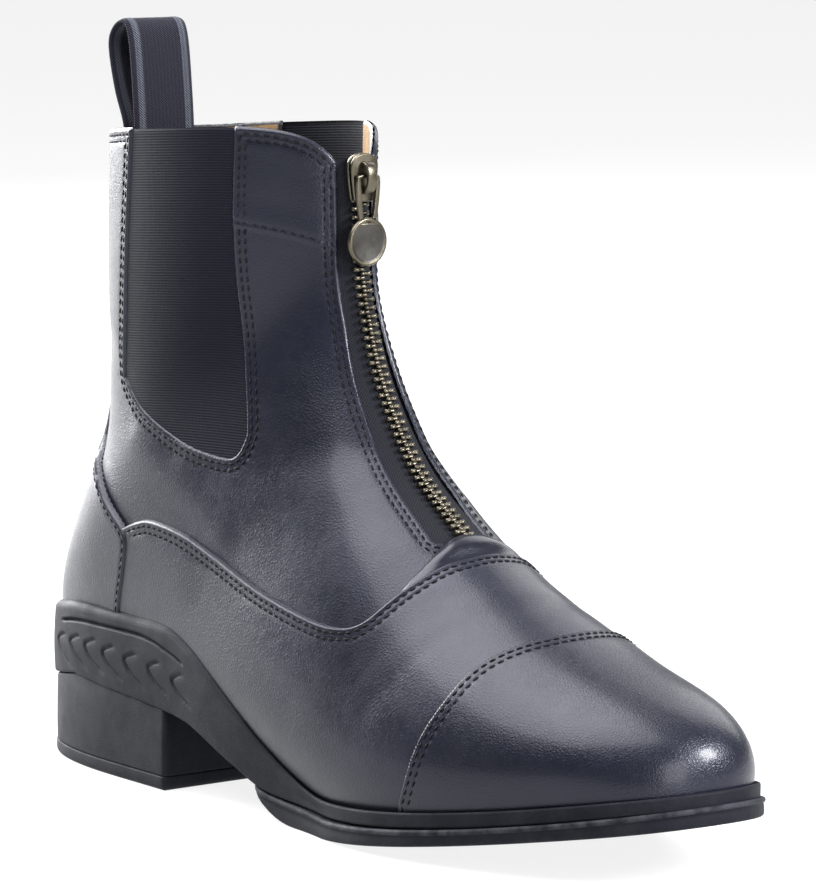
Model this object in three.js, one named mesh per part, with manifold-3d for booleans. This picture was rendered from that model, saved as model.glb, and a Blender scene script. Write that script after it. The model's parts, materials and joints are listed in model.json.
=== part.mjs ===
// Paddock boot, right foot: leather ankle boot with a front zip, elastic side gores and a heeled rubber sole.
// Millimetres, +Z up, heel at +Y, toe at -Y, outer side at -X. The origin is on the floor, mid-length.
import * as THREE from 'three';
import Module from 'manifold-3d';
import { mergeVertices } from 'three/addons/utils/BufferGeometryUtils.js';

const wasm = await Module();
wasm.setup();

// Driving sizes of the last
const BOOT_LENGTH = 271;
const BALL_WIDTH = 87;
const INSTEP_HEIGHT = 95.5;
const SHAFT_HEIGHT = 188.5;
const COLLAR_WIDTH = 60.5;

// Leather and lining
const WALL = 2.0;
const GAP = 0.3;
const VAMP_THICKNESS = 1.3;
const TOE_CAP_THICKNESS = 2.0;
const COUNTER_THICKNESS = 1.8;
const TAB_THICKNESS = 1.0;
const GORE_THICKNESS = 1.3;

// Sole heights above the floor, and how far it stands out from the upper
const HEEL_SEAT_HEIGHT = 47.6;
const HEEL_BACK_DROP = 4.6;
const BALL_SEAT_HEIGHT = 10.3;
const TOE_SPRING = 17;
const OUTSOLE_THICKNESS = 6;
const HEEL_CUP_HEIGHT = 20.5;
const HEEL_LIFT_THICKNESS = 4;
const HEEL_LENGTH = 76;
const CUP_LEDGE = 4.2;
const WAIST_LEDGE = 1.8;
const RAND_LEDGE = 4;
const OUTSOLE_LEDGE = 1.3;
const HEEL_STEP = 0.8;
const INSOLE_THICKNESS = 3;
const GROOVE_DEPTH = 1.2;
const GROOVE_HEIGHT = 1.4;
const CHEVRON_COUNT = 7;
const CHEVRON_THICKNESS = 1.1;
const CHEVRON_REACH = 5.5;

// Zip
const SLOT_HALF_TOP = 6;
const SLOT_HALF_FOOT = 9.5;
const SLOT_FOOT_HEIGHT = 80;
const TAPE_THICKNESS = 1.0;
const CHAIN_HALF_WIDTH = 2.9;
const CHAIN_THICKNESS = 1.1;
const SLIDER_TOP_BELOW_COLLAR = 5.9;
const SLIDER_LENGTH = 13.4;
const SLIDER_WIDTH = 9.5;
const SLIDER_THICKNESS = 2.6;
const BRIDGE_WIDTH = 3.2;
const BRIDGE_LENGTH = 9;
const BRIDGE_RISE = 3.4;
const BRIDGE_BAR = 1.2;
const PULL_BAR_DIAMETER = 1.2;
const PULL_ARM_WIDTH = 1.5;
const PULL_ARM_CLEARANCE = 1.1;
const PULL_DROP = 17.7;
const DISC_DIAMETER = 13.5;
const DISC_RIM = 1;
const DISC_DISH = 0.4;
const DISC_THICKNESS = 1.6;

// Pull loop and badge
const LOOP_WIDTH = 19;
const LOOP_RISE = 31;
const LOOP_TUCK = 20;
const LOOP_LEAN = 5.5;
const LOOP_SPREAD = 5;
const WEBBING = 1.6;
const BADGE_WIDTH = 9;
const BADGE_HEIGHT = 11;
const BADGE_THICKNESS = 1.8;
const BADGE_BELOW_COLLAR = 16;

// Mesh fineness
const ROWS_ALONG = 24;
const STEPS_ROUND = 30;
const OUTLINE_STEPS = 22;
const CURVE_STEPS = 4;
const ROUND_STEPS = 24;
const LOOP_STEPS = 2;

// A height share up to 1 is of the instep; from 1 to 2 it is of the shaft above the instep.
function up(share) {
  const shaft = SHAFT_HEIGHT - INSTEP_HEIGHT;
  return share <= 1 ? share * INSTEP_HEIGHT : INSTEP_HEIGHT + (share - 1) * shaft;
}

// Distance forward from the back of the heel, as a share of the length.
function along(share) {
  return share * BOOT_LENGTH;
}

// Slanted sections of the last, from the toe up to above the collar. Each row is one closed section:
// its front point and back point (along, up), where its widest point lies between them (core),
// its half widths to the outer and inner side, how square its front and back half are,
// and how far its front and back are shifted outward. Widths and shifts are shares of the width.
const LAST = [
  // fAlong, fUp,  bAlong,  bUp,   core, outer, inner, fSq,  bSq,  fShift, bShift
  [0.940, 0.104, 0.940, 0.104, 0.50, 0.000, 0.000, 0.00, 0.00, -0.098, -0.098],
  [0.955, 0.187, 0.910, 0.031, 0.55, 0.135, 0.095, 0.00, 0.02, -0.098, -0.098],
  [0.960, 0.269, 0.884, 0.000, 0.55, 0.207, 0.155, 0.00, 0.03, -0.098, -0.095],
  [0.954, 0.352, 0.855, -0.010, 0.52, 0.276, 0.222, 0.00, 0.04, -0.098, -0.087],
  [0.930, 0.420, 0.818, -0.020, 0.50, 0.340, 0.286, 0.01, 0.05, -0.095, -0.078],
  [0.885, 0.478, 0.775, -0.031, 0.47, 0.408, 0.364, 0.01, 0.06, -0.087, -0.067],
  [0.817, 0.543, 0.721, -0.041, 0.43, 0.463, 0.428, 0.00, 0.06, -0.067, -0.046],
  [0.741, 0.636, 0.652, -0.052, 0.39, 0.490, 0.470, 0.00, 0.05, -0.046, -0.015],
  [0.664, 0.752, 0.572, -0.041, 0.36, 0.480, 0.478, -0.02, 0.03, -0.023, 0.000],
  [0.600, 0.876, 0.476, 0.010, 0.37, 0.455, 0.465, 0.01, -0.02, 0.000, 0.006],
  [0.544, 1.000, 0.354, 0.083, 0.40, 0.420, 0.430, 0.02, -0.05, 0.006, 0.006],
  [0.506, 1.145, 0.222, 0.124, 0.44, 0.400, 0.415, 0.00, -0.05, 0.006, -0.006],
  [0.476, 1.306, 0.094, 0.187, 0.48, 0.398, 0.412, -0.02, -0.02, 0.000, -0.018],
  [0.458, 1.468, 0.003, 0.373, 0.50, 0.402, 0.405, -0.05, 0.02, 0.000, -0.022],
  [0.448, 1.608, 0.042, 0.705, 0.50, 0.410, 0.410, -0.07, 0.02, 0.000, -0.014],
  [0.445, 1.737, 0.083, 0.960, 0.50, 0.436, 0.435, -0.07, 0.02, 0.000, 0.004],
  [0.443, 1.866, 0.092, 1.400, 0.50, 0.478, 0.461, -0.07, 0.03, 0.000, 0.018],
  [0.443, 2.000, 0.093, 1.941, 0.50, 0.508, 0.488, -0.07, 0.03, 0.000, 0.020],
  [0.443, 2.120, 0.093, 2.070, 0.50, 0.508, 0.488, -0.07, 0.03, 0.000, 0.020],
];

// One row of the table in millimetres.
function sectionSizes(row) {
  const [fa, fu, ba, bu, core, outer, inner, fSq, bSq, fShift, bShift] = row;
  const rise = THREE.MathUtils.clamp(fu - 1, 0, 1);
  const width = THREE.MathUtils.lerp(BALL_WIDTH, COLLAR_WIDTH, rise);
  return [along(fa), up(fu), along(ba), up(bu), core, outer * width, inner * width, fSq, bSq,
    fShift * width, bShift * width];
}

// Natural cubic spline through rows of numbers at the places x.
function naturalSpline(x, rows) {
  const n = x.length;
  const columns = rows[0].length;
  const bends = rows.map(() => new Array(columns).fill(0));
  const diagonal = new Array(n).fill(1);
  for (let c = 0; c < columns; c += 1) {
    const right = new Array(n).fill(0);
    const upper = new Array(n).fill(0);
    for (let i = 1; i < n - 1; i += 1) {
      const before = x[i] - x[i - 1];
      const after = x[i + 1] - x[i];
      const turn = (rows[i + 1][c] - rows[i][c]) / after - (rows[i][c] - rows[i - 1][c]) / before;
      diagonal[i] = 2 * (before + after) - before * upper[i - 1];
      upper[i] = after / diagonal[i];
      right[i] = (6 * turn - before * right[i - 1]) / diagonal[i];
    }
    for (let i = n - 2; i > 0; i -= 1) {
      bends[i][c] = right[i] - upper[i] * bends[i + 1][c];
    }
  }
  return (place) => {
    let k = 0;
    while (k < n - 2 && place > x[k + 1]) k += 1;
    const h = x[k + 1] - x[k];
    const t = place - x[k];
    return rows[k].map((start, c) => {
      const low = bends[k][c];
      const high = bends[k + 1][c];
      const slope = (rows[k + 1][c] - start) / h - (h * (2 * low + high)) / 6;
      return start + t * slope + (t * t * low) / 2 + (t ** 3 * (high - low)) / (6 * h);
    });
  };
}

const SECTIONS = LAST.map(sectionSizes);

// Place of each section between the toe, 0, and the top of the form, 1.
function sectionPlaces(sections) {
  const places = [0];
  for (let i = 1; i < sections.length; i += 1) {
    const [fa, fu, ba, bu] = sections[i];
    const [pa, pu, qa, qu] = sections[i - 1];
    places.push(places[i - 1] + (Math.hypot(fa - pa, fu - pu) + Math.hypot(ba - qa, bu - qu)) / 2);
  }
  return places.map((place) => place / places[places.length - 1]);
}

const sectionAt = naturalSpline(sectionPlaces(SECTIONS), SECTIONS);

// A point of the last: q runs from toe to top, angle from 0 on the front ridge to +-PI at the back,
// positive on the outer side. Returns distance forward, distance outward and height.
function lastPoint(q, angle) {
  const [fa, fu, ba, bu, core, outer, inner, fSq, bSq, fShift, bShift] = sectionAt(q);
  const c = Math.cos(angle);
  const squareness = fSq + ((bSq - fSq) * (1 - c)) / 2;
  const reach = 1 + squareness * Math.sin(2 * angle) ** 2;
  const forward = c * reach;
  const span = forward > 0 ? 1 - core : core;
  const share = core + forward * span;
  const half = angle > 0 ? outer : inner;
  const shift = bShift + (fShift - bShift) * share;
  return new THREE.Vector3(
    ba + (fa - ba) * share,
    shift + half * Math.sin(angle) * reach,
    bu + (fu - bu) * share,
  );
}

// Outward direction of the last's surface.
function lastNormal(q, angle) {
  const stepQ = 0.004;
  const stepAngle = 0.02;
  const alongQ = lastPoint(Math.min(q + stepQ, 1), angle).sub(lastPoint(Math.max(q - stepQ, 0), angle));
  const round = lastPoint(q, angle + stepAngle).sub(lastPoint(q, angle - stepAngle));
  return round.cross(alongQ).normalize();
}

// From forward, outward, height to the model's own axes, mid-length.
const MIDDLE = BOOT_LENGTH / 2;
function place(forward, outward, height) {
  return new THREE.Vector3(-outward, MIDDLE - forward, height);
}

// A closed solid from a geometry, and back.
function solidOf(geometry) {
  const plain = geometry.clone();
  plain.deleteAttribute('normal');
  plain.deleteAttribute('uv');
  const merged = mergeVertices(plain, 1e-4);
  const mesh = new wasm.Mesh({
    numProp: 3,
    vertProperties: new Float32Array(merged.attributes.position.array),
    triVerts: new Uint32Array(merged.index.array),
  });
  return new wasm.Manifold(mesh);
}

function geometryOf(solid) {
  const mesh = solid.getMesh();
  const geometry = new THREE.BufferGeometry();
  geometry.setAttribute('position', new THREE.BufferAttribute(new Float32Array(mesh.vertProperties), 3));
  geometry.setIndex(new THREE.BufferAttribute(new Uint32Array(mesh.triVerts), 1));
  geometry.computeVertexNormals();
  return geometry;
}

// Rows of the form's mesh: close at the toe and even up the shaft.
const TOE_CLOSENESS = 1.15;
function rowPlace(index) {
  const even = index / ROWS_ALONG;
  return even ** TOE_CLOSENESS;
}

// Steps round a section: closer at the front ridge and at the back.
const RIDGE_CLOSENESS = 0.12;
function stepAngle(index) {
  const even = (index / STEPS_ROUND) * 2 * Math.PI - Math.PI;
  return even - RIDGE_CLOSENESS * Math.sin(2 * even);
}

// The whole last as a closed solid, standing out from the leather's outer face by the given amount.
function form(offset) {
  const points = [];
  const faces = [];
  const toe = sectionAt(0);
  const tip = place(toe[0], toe[9], toe[1] - offset);
  points.push(tip);
  for (let i = 1; i <= ROWS_ALONG; i += 1) {
    for (let j = 0; j < STEPS_ROUND; j += 1) {
      const q = rowPlace(i);
      const angle = stepAngle(j);
      const point = lastPoint(q, angle).addScaledVector(lastNormal(q, angle), offset);
      points.push(place(point.x, point.y, point.z));
    }
  }
  const lid = points.slice(-STEPS_ROUND).reduce((sum, p) => sum.add(p), new THREE.Vector3());
  points.push(lid.divideScalar(STEPS_ROUND));
  const last = points.length - 1;
  for (let j = 0; j < STEPS_ROUND; j += 1) {
    const next = (j + 1) % STEPS_ROUND;
    faces.push(0, 1 + j, 1 + next);
    for (let i = 0; i < ROWS_ALONG - 1; i += 1) {
      const a = 1 + i * STEPS_ROUND + j;
      const b = 1 + i * STEPS_ROUND + next;
      faces.push(a, a + STEPS_ROUND, b, b, a + STEPS_ROUND, b + STEPS_ROUND);
    }
    const end = 1 + (ROWS_ALONG - 1) * STEPS_ROUND;
    faces.push(end + j, last, end + next);
  }
  const geometry = new THREE.BufferGeometry();
  geometry.setAttribute('position', new THREE.Float32BufferAttribute(points.flatMap((p) => p.toArray()), 3));
  geometry.setIndex(faces);
  return solidOf(geometry);
}

const forms = new Map();
function formAt(offset) {
  if (!forms.has(offset)) forms.set(offset, form(offset));
  return forms.get(offset);
}

// A sheet that follows the last, between two distances from the leather's outer face.
function sheet(low, high) {
  return formAt(high).subtract(formAt(low));
}

// Moves a solid's own axes: forward, height and outward become the model's axes.
const SIDE_VIEW = new THREE.Matrix4().makeBasis(
  new THREE.Vector3(0, -1, 0), new THREE.Vector3(0, 0, 1), new THREE.Vector3(-1, 0, 0),
).setPosition(0, MIDDLE, 0);

// A side outline (forward, height), cut straight through from side to side.
function throughSides(outline, halfWidth = BALL_WIDTH) {
  const shape = new THREE.Shape(outline.map(([a, z]) => new THREE.Vector2(a, z)));
  const geometry = new THREE.ExtrudeGeometry(shape, { depth: 2 * halfWidth, bevelEnabled: false });
  geometry.translate(0, 0, -halfWidth);
  geometry.applyMatrix4(SIDE_VIEW);
  return solidOf(geometry);
}

// A plan outline (forward, outward), standing from the bottom to the top height.
function standing(outline, bottom, top) {
  const shape = new THREE.Shape(outline.map(([a, w]) => new THREE.Vector2(-w, MIDDLE - a)));
  const geometry = new THREE.ExtrudeGeometry(shape, { depth: top - bottom, bevelEnabled: false });
  geometry.translate(0, 0, bottom);
  return solidOf(geometry);
}

// A front outline (outward, height), reaching from one distance forward to another.
function throughFront(outline, from, to) {
  const shape = new THREE.Shape(outline.map(([w, z]) => new THREE.Vector2(-w, z)));
  const geometry = new THREE.ExtrudeGeometry(shape, { depth: to - from, bevelEnabled: false });
  const turn = new THREE.Matrix4().makeBasis(
    new THREE.Vector3(1, 0, 0), new THREE.Vector3(0, 0, 1), new THREE.Vector3(0, -1, 0),
  ).setPosition(0, MIDDLE - from, 0);
  geometry.applyMatrix4(turn);
  return solidOf(geometry);
}

// A smooth line through side points given as shares.
function sideCurve(rows) {
  const points = rows.map(([a, u]) => new THREE.Vector2(along(a), up(u)));
  const curve = new THREE.SplineCurve(points);
  return curve.getPoints((points.length - 1) * CURVE_STEPS).map((p) => [p.x, p.y]);
}

const FAR = 2 * SHAFT_HEIGHT;
const BEYOND = 0.05;

// Height of the line where the upper meets the sole: the seat, the fall along the shank and the toe spring.
const SHANK_START = 0.266;
const SHANK_END = 0.572;
const BACK_RISE_END = 0.13;
const SEAT_SPRING_POWER = 1.5;
const TREAD_SPRING_POWER = 1.25;
function featherHeight(forward) {
  const share = forward / BOOT_LENGTH;
  const back = THREE.MathUtils.smoothstep(share, -BACK_RISE_END, BACK_RISE_END) * 2 - 1;
  const seat = HEEL_SEAT_HEIGHT - HEEL_BACK_DROP * (1 - back);
  const fall = THREE.MathUtils.smoothstep(share, SHANK_START, SHANK_END);
  const toe = Math.max(0, (share - SHANK_END) / (1 - SHANK_END));
  return THREE.MathUtils.lerp(seat, BALL_SEAT_HEIGHT, fall) + TOE_SPRING * toe ** SEAT_SPRING_POWER;
}

function featherLine(rise = 0) {
  const steps = 2 * OUTLINE_STEPS;
  const line = [];
  for (let i = 0; i <= steps; i += 1) {
    const forward = along(-BEYOND + ((1 + 2 * BEYOND) * i) / steps);
    line.push([forward, featherHeight(forward) + rise]);
  }
  return line;
}

// All that lies above the feather line, raised by the given amount.
function aboveFeather(rise) {
  const line = featherLine(rise);
  return throughSides([...line, [line[line.length - 1][0], FAR], [line[0][0], FAR]]);
}

// Top edge of the shaft: level at the back, higher at the quarters, rounded down beside the zip.
const COLLAR_EDGE = [
  [-0.1, 1.94], [0.093, 1.942], [0.2, 1.965], [0.3, 1.985], [0.385, 1.980], [0.415, 1.955],
  [0.431, 1.922], [0.440, 1.878], [0.46, 1.82],
];

function collarTop() {
  const line = sideCurve(COLLAR_EDGE);
  return throughSides([...line, [line[line.length - 1][0], FAR], [line[0][0], FAR]]);
}

const aboveCollar = collarTop();
const shellSpace = aboveFeather(GAP).subtract(aboveCollar);

// Elastic gore window seen from the side.
const GORE = {
  topBack: [0.210, 2.1], backMid: [0.196, 1.55], back: [0.182, 1.215], low: [0.218, 1.13],
  lowMid: [0.29, 1.045], foot: [0.352, 1.018], front: [0.377, 1.09], frontMid: [0.357, 1.42],
  topFront: [0.357, 2.1],
};

function goreOutline(inset) {
  const back = sideCurve([GORE.topBack, GORE.backMid, GORE.back]);
  const foot = sideCurve([GORE.back, GORE.low, GORE.lowMid, GORE.foot, [0.37, 1.035], GORE.front]);
  const front = sideCurve([GORE.front, GORE.frontMid, GORE.topFront]);
  return insetOutline([...back, ...foot.slice(1), ...front.slice(1)], inset);
}

// Moves a closed outline inwards by the given amount, or outwards when it is negative.
function insetOutline(outline, inset) {
  return widen(outline, () => -inset);
}

// Moves a closed outline outwards by an amount that may change along it.
function widen(outline, amountAt) {
  const area = THREE.ShapeUtils.area(outline.map(([x, y]) => new THREE.Vector2(x, y)));
  const turn = Math.sign(area);
  return outline.map(([x, y], i) => {
    const before = outline[(i + outline.length - 1) % outline.length];
    const after = outline[(i + 1) % outline.length];
    const one = new THREE.Vector2(x - before[0], y - before[1]).normalize();
    const two = new THREE.Vector2(after[0] - x, after[1] - y).normalize();
    const middle = new THREE.Vector2(-(one.y + two.y), one.x + two.x).normalize();
    const lean = Math.max(0.5, middle.dot(new THREE.Vector2(-one.y, one.x)));
    const amount = (turn * amountAt(x)) / lean;
    return [x - amount * middle.x, y - amount * middle.y];
  });
}

// Zip slot in the front, wider at its foot.
function slotOutline(inset) {
  const half = (height) => {
    const t = (height - SLOT_FOOT_HEIGHT) / (SHAFT_HEIGHT - SLOT_FOOT_HEIGHT);
    return THREE.MathUtils.lerp(SLOT_HALF_FOOT, SLOT_HALF_TOP, Math.min(1, t * 2)) - inset;
  };
  const heights = [SLOT_FOOT_HEIGHT + inset, THREE.MathUtils.lerp(SLOT_FOOT_HEIGHT, SHAFT_HEIGHT, 0.25),
    THREE.MathUtils.lerp(SLOT_FOOT_HEIGHT, SHAFT_HEIGHT, 0.5), FAR];
  const outer = heights.map((z) => [half(z), z]);
  const inner = heights.map((z) => [-half(z), z]).reverse();
  return [...outer, ...inner];
}

const ZIP_BACK = along(0.37);
const ZIP_FRONT = along(0.68);

function slot(inset) {
  return throughFront(slotOutline(inset), ZIP_BACK, ZIP_FRONT);
}

function makeUpper() {
  const shell = sheet(-WALL, 0).intersect(shellSpace);
  return shell.subtract(throughSides(goreOutline(0))).subtract(slot(0));
}

function makeGore(side) {
  const half = throughFront([[0, -FAR], [side * BALL_WIDTH, -FAR], [side * BALL_WIDTH, FAR], [0, FAR]],
    -BOOT_LENGTH, 2 * BOOT_LENGTH);
  const window = throughSides(goreOutline(GAP));
  return sheet(-GAP - GORE_THICKNESS, -GAP).intersect(window).intersect(half).subtract(aboveCollar);
}

// Seams seen from the side.
const COUNTER_EDGE = [
  [0.180, 0.30], [0.186, 0.48], [0.203, 0.62], [0.210, 0.72], [0.200, 0.765], [0.170, 0.826],
  [0.144, 0.89], [0.116, 0.97], [0.103, 1.15], [0.099, 1.45], [0.0985, 1.75], [0.0985, 2.1],
];
const VAMP_EDGE = [
  [0.200, 0.765], [0.225, 0.79], [0.252, 0.801], [0.305, 0.782], [0.366, 0.732], [0.439, 0.671],
  [0.517, 0.622], [0.565, 0.602], [0.596, 0.622], [0.618, 0.71], [0.632, 0.774], [0.641, 0.80],
  [0.652, 0.88],
];
const TOE_SEAM = [
  [0.680, 0.02], [0.688, 0.14], [0.702, 0.226], [0.715, 0.341], [0.727, 0.438], [0.737, 0.53],
  [0.750, 0.582], [0.765, 0.608], [0.772, 0.625], [0.780, 0.75],
];
const TAB_EDGE = [[0.634, 0.72], [0.6255, 0.765], [0.6185, 0.81], [0.6125, 0.85], [0.606, 0.93]];

function shifted(line, forward) {
  return line.map(([a, z]) => [a + forward, z]);
}

// The counter and back strip: all behind its front edge.
function counterRegion(shift) {
  const line = shifted(sideCurve(COUNTER_EDGE), shift);
  return [[along(-0.1), -FAR], [line[0][0], -FAR], ...line, [along(-0.1), line[line.length - 1][1]]];
}

function vampRegion(shift) {
  const top = sideCurve(VAMP_EDGE);
  const seam = shifted(sideCurve(TOE_SEAM), shift).reverse();
  return [[top[0][0] - along(0.1), top[0][1]], ...top, ...seam, [seam[seam.length - 1][0], -FAR],
    [top[0][0] - along(0.1), -FAR]];
}

function makeCounter() {
  const region = throughSides(counterRegion(0));
  return sheet(GAP, GAP + COUNTER_THICKNESS).intersect(region).intersect(shellSpace);
}

function makeVamp() {
  const region = throughSides(vampRegion(-GAP)).subtract(throughSides(counterRegion(GAP)));
  return sheet(GAP, GAP + VAMP_THICKNESS).intersect(region).intersect(shellSpace);
}

function makeToeCap() {
  const seam = sideCurve(TOE_SEAM);
  const beyond = throughSides([...seam, [along(1.2), seam[seam.length - 1][1]], [along(1.2), -FAR],
    [seam[0][0], -FAR]].reverse());
  return sheet(GAP, GAP + TOE_CAP_THICKNESS).intersect(beyond).intersect(shellSpace);
}

// The padded tab that covers the zip's foot, between its own edge and the vamp's.
function tabOutline() {
  const edge = sideCurve(TAB_EDGE);
  return [...edge, [ZIP_FRONT, edge[edge.length - 1][1]], [ZIP_FRONT, edge[0][1]]];
}

function makeTab() {
  const vamp = insetOutline(vampRegion(0), -GAP);
  return sheet(GAP, GAP + TAB_THICKNESS).intersect(throughSides(tabOutline())).subtract(throughSides(vamp));
}

function makeTape() {
  const band = slot(GAP).subtract(aboveCollar);
  return sheet(-GAP - TAPE_THICKNESS, -GAP).intersect(band);
}

// Plan outline of the upper at the feather line, then widened for the sole.
function featherOutline() {
  const clear = (q, angle) => {
    const point = lastPoint(q, angle);
    return point.z - featherHeight(point.x);
  };
  const bisect = (low, high, isAbove) => {
    let [a, b] = [low, high];
    for (let i = 0; i < 40; i += 1) {
      const middle = (a + b) / 2;
      if (isAbove(middle)) a = middle;
      else b = middle;
    }
    return (a + b) / 2;
  };
  const toe = bisect(0.5, 0, (q) => clear(q, 0) > 0);
  const heel = bisect(1, 0.4, (q) => clear(q, Math.PI) > 0);
  const side = (sign) => {
    const line = [];
    for (let i = 1; i < OUTLINE_STEPS; i += 1) {
      const q = toe + ((heel - toe) * (1 - Math.cos((Math.PI * i) / OUTLINE_STEPS))) / 2;
      const angle = bisect(0, Math.PI, (turn) => clear(q, sign * turn) > 0);
      const point = lastPoint(q, sign * angle);
      line.push([point.x, point.y]);
    }
    return line;
  };
  const tip = lastPoint(toe, 0);
  const back = lastPoint(heel, Math.PI);
  return [[tip.x, tip.y], ...side(1), [back.x, back.y], ...side(-1).reverse()];
}

// How far the sole stands out from the upper: most round the heel, least at the waist.
const HEEL_SHARES = [0.12, 0.33];
const BALL_SHARES = [0.42, 0.66];
function ledgeAt(forward) {
  const share = forward / BOOT_LENGTH;
  const { lerp, smoothstep } = THREE.MathUtils;
  const behind = lerp(CUP_LEDGE, WAIST_LEDGE, smoothstep(share, ...HEEL_SHARES));
  return lerp(behind, RAND_LEDGE, smoothstep(share, ...BALL_SHARES));
}

const FEATHER = featherOutline();
const CUP_OUTLINE = widen(FEATHER, ledgeAt);
const OUTSOLE_OUTLINE = widen(FEATHER, (forward) => ledgeAt(forward) + OUTSOLE_LEDGE);
const HEEL_OUTLINE = widen(FEATHER, (forward) => ledgeAt(forward) - HEEL_STEP);

// Underside of the moulded sole: the heel cup's lower edge, the shank and the top of the outsole.
// The shank's rows are (along, height as a share of the height at the heel's breast).
const BREAST_DROP = 0.17;
const SHANK = [[0.336, 0.9], [0.41, 0.59], [0.47, 0.34]];
function cupFoot(forward) {
  return featherHeight(forward) - HEEL_CUP_HEIGHT;
}

function underLine() {
  const breast = cupFoot(HEEL_LENGTH) - HEEL_CUP_HEIGHT * BREAST_DROP;
  const joint = along(SHANK_END);
  const shank = new THREE.SplineCurve([
    new THREE.Vector2(HEEL_LENGTH, breast),
    ...SHANK.map(([a, share]) => new THREE.Vector2(along(a), breast * share)),
    new THREE.Vector2(joint, OUTSOLE_THICKNESS),
  ]).getPoints(3 * CURVE_STEPS).map((p) => [p.x, p.y]);
  const fore = [];
  for (let i = 1; i <= OUTLINE_STEPS; i += 1) {
    const forward = THREE.MathUtils.lerp(joint, along(1 + BEYOND), i / OUTLINE_STEPS);
    fore.push([forward, outsoleTop(forward)]);
  }
  const cup = [along(-BEYOND), 0, along(0.1)].map((forward) => [forward, cupFoot(forward)]);
  return [...cup, ...shank, ...fore];
}

function outsoleTop(forward) {
  return featherHeight(forward) - (BALL_SEAT_HEIGHT - OUTSOLE_THICKNESS);
}

function makeSoleUnit() {
  const under = underLine();
  const feather = featherLine(0).reverse();
  const profile = throughSides([...under, ...feather]);
  const body = standing(CUP_OUTLINE, 0, SHAFT_HEIGHT).intersect(profile);
  return body.subtract(cupGroove()).subtract(chevrons());
}

// The band of the cup's side that grooves and chevrons are cut into.
function sideSkin() {
  const outer = standing(insetOutline(CUP_OUTLINE, -GROOVE_DEPTH), 0, SHAFT_HEIGHT);
  return outer.subtract(standing(insetOutline(CUP_OUTLINE, GROOVE_DEPTH), 0, SHAFT_HEIGHT));
}

const GROOVE_LINE = [
  [-0.05, 0.85], [0.05, 0.83], [0.12, 0.82], [0.17, 0.79], [0.215, 0.72], [0.26, 0.6], [0.285, 0.5],
];

// Groove round the cup: heights are shares of the cup's height above its lower edge.
function grooveCentre() {
  const points = GROOVE_LINE.map(([a, share]) =>
    new THREE.Vector2(along(a), cupFoot(Math.min(along(a), HEEL_LENGTH)) + share * HEEL_CUP_HEIGHT));
  return new THREE.SplineCurve(points).getPoints(3 * CURVE_STEPS).map((p) => [p.x, p.y]);
}

function cupGroove() {
  const line = grooveCentre();
  const top = line.map(([a, z]) => [a, z + GROOVE_HEIGHT / 2]);
  const foot = line.map(([a, z]) => [a, z - GROOVE_HEIGHT / 2]).reverse();
  return throughSides([...foot.reverse(), ...top.reverse()]).intersect(sideSkin());
}

// Chevrons between the groove and the cup's lower edge, pointing forward. The first and last one's
// place along, and the height of their middle and of each arm as shares of the cup's height.
const FIRST_CHEVRON = { tip: 0.05, middle: 0.42, arm: 0.3 };
const LAST_CHEVRON = { tip: 0.235, middle: 0.36, arm: 0.22 };
function chevronCut(t) {
  const { lerp } = THREE.MathUtils;
  const back = along(lerp(FIRST_CHEVRON.tip, LAST_CHEVRON.tip, t));
  const middle = cupFoot(back) + HEEL_CUP_HEIGHT * lerp(FIRST_CHEVRON.middle, LAST_CHEVRON.middle, t);
  const arm = HEEL_CUP_HEIGHT * lerp(FIRST_CHEVRON.arm, LAST_CHEVRON.arm, t);
  const edge = [[back, middle + arm], [back + CHEVRON_REACH * 0.75, middle + arm * 0.4],
    [back + CHEVRON_REACH, middle], [back + CHEVRON_REACH * 0.4, middle - arm]];
  const front = edge.map(([a, z]) => [a + CHEVRON_THICKNESS, z]).reverse();
  return throughSides([...edge, ...front]);
}

function chevrons() {
  const skin = sideSkin();
  const cuts = [];
  for (let i = 0; i < CHEVRON_COUNT; i += 1) {
    cuts.push(chevronCut(i / (CHEVRON_COUNT - 1)).intersect(skin));
  }
  return cuts.reduce((all, cut) => all.add(cut));
}

// Underside of the outsole: curved up at the shank, flat at the ball, then the toe spring.
const OUTSOLE_START = 0.438;
const FLAT_START = 0.52;
const START_RISE = 1.6;
const START_POWER = 2.6;
function outsoleUnder() {
  const lift = along(SHANK_END);
  const line = [];
  for (let i = 0; i <= CURVE_STEPS * 2; i += 1) {
    const t = i / (CURVE_STEPS * 2);
    const forward = THREE.MathUtils.lerp(along(OUTSOLE_START), along(FLAT_START), t);
    line.push([forward, OUTSOLE_THICKNESS * START_RISE * (1 - t) ** START_POWER]);
  }
  for (let i = 0; i <= OUTLINE_STEPS / 2; i += 1) {
    const forward = THREE.MathUtils.lerp(lift, along(1 + BEYOND), i / (OUTLINE_STEPS / 2));
    const t = (forward - lift) / (BOOT_LENGTH - lift);
    line.push([forward, TOE_SPRING * t ** TREAD_SPRING_POWER]);
  }
  return line;
}

function makeOutsole() {
  const under = outsoleUnder();
  const top = underLine().filter(([a]) => a > under[0][0]).map(([a, z]) => [a, z - GAP]).reverse();
  const profile = throughSides([...under, ...top]);
  return standing(OUTSOLE_OUTLINE, -GAP, SHAFT_HEIGHT).intersect(profile);
}

function heelSpace(low, high) {
  const back = along(-BEYOND);
  const top = [back, 0, along(0.1), along(0.2), HEEL_LENGTH].map((a) => [a, high(a)]).reverse();
  return throughSides([[back, low], [HEEL_LENGTH, low], ...top]);
}

function makeHeelBlock() {
  const space = heelSpace(HEEL_LIFT_THICKNESS + GAP, (a) => heelTop(a) - GAP);
  return standing(HEEL_OUTLINE, 0, SHAFT_HEIGHT).intersect(space);
}

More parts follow.
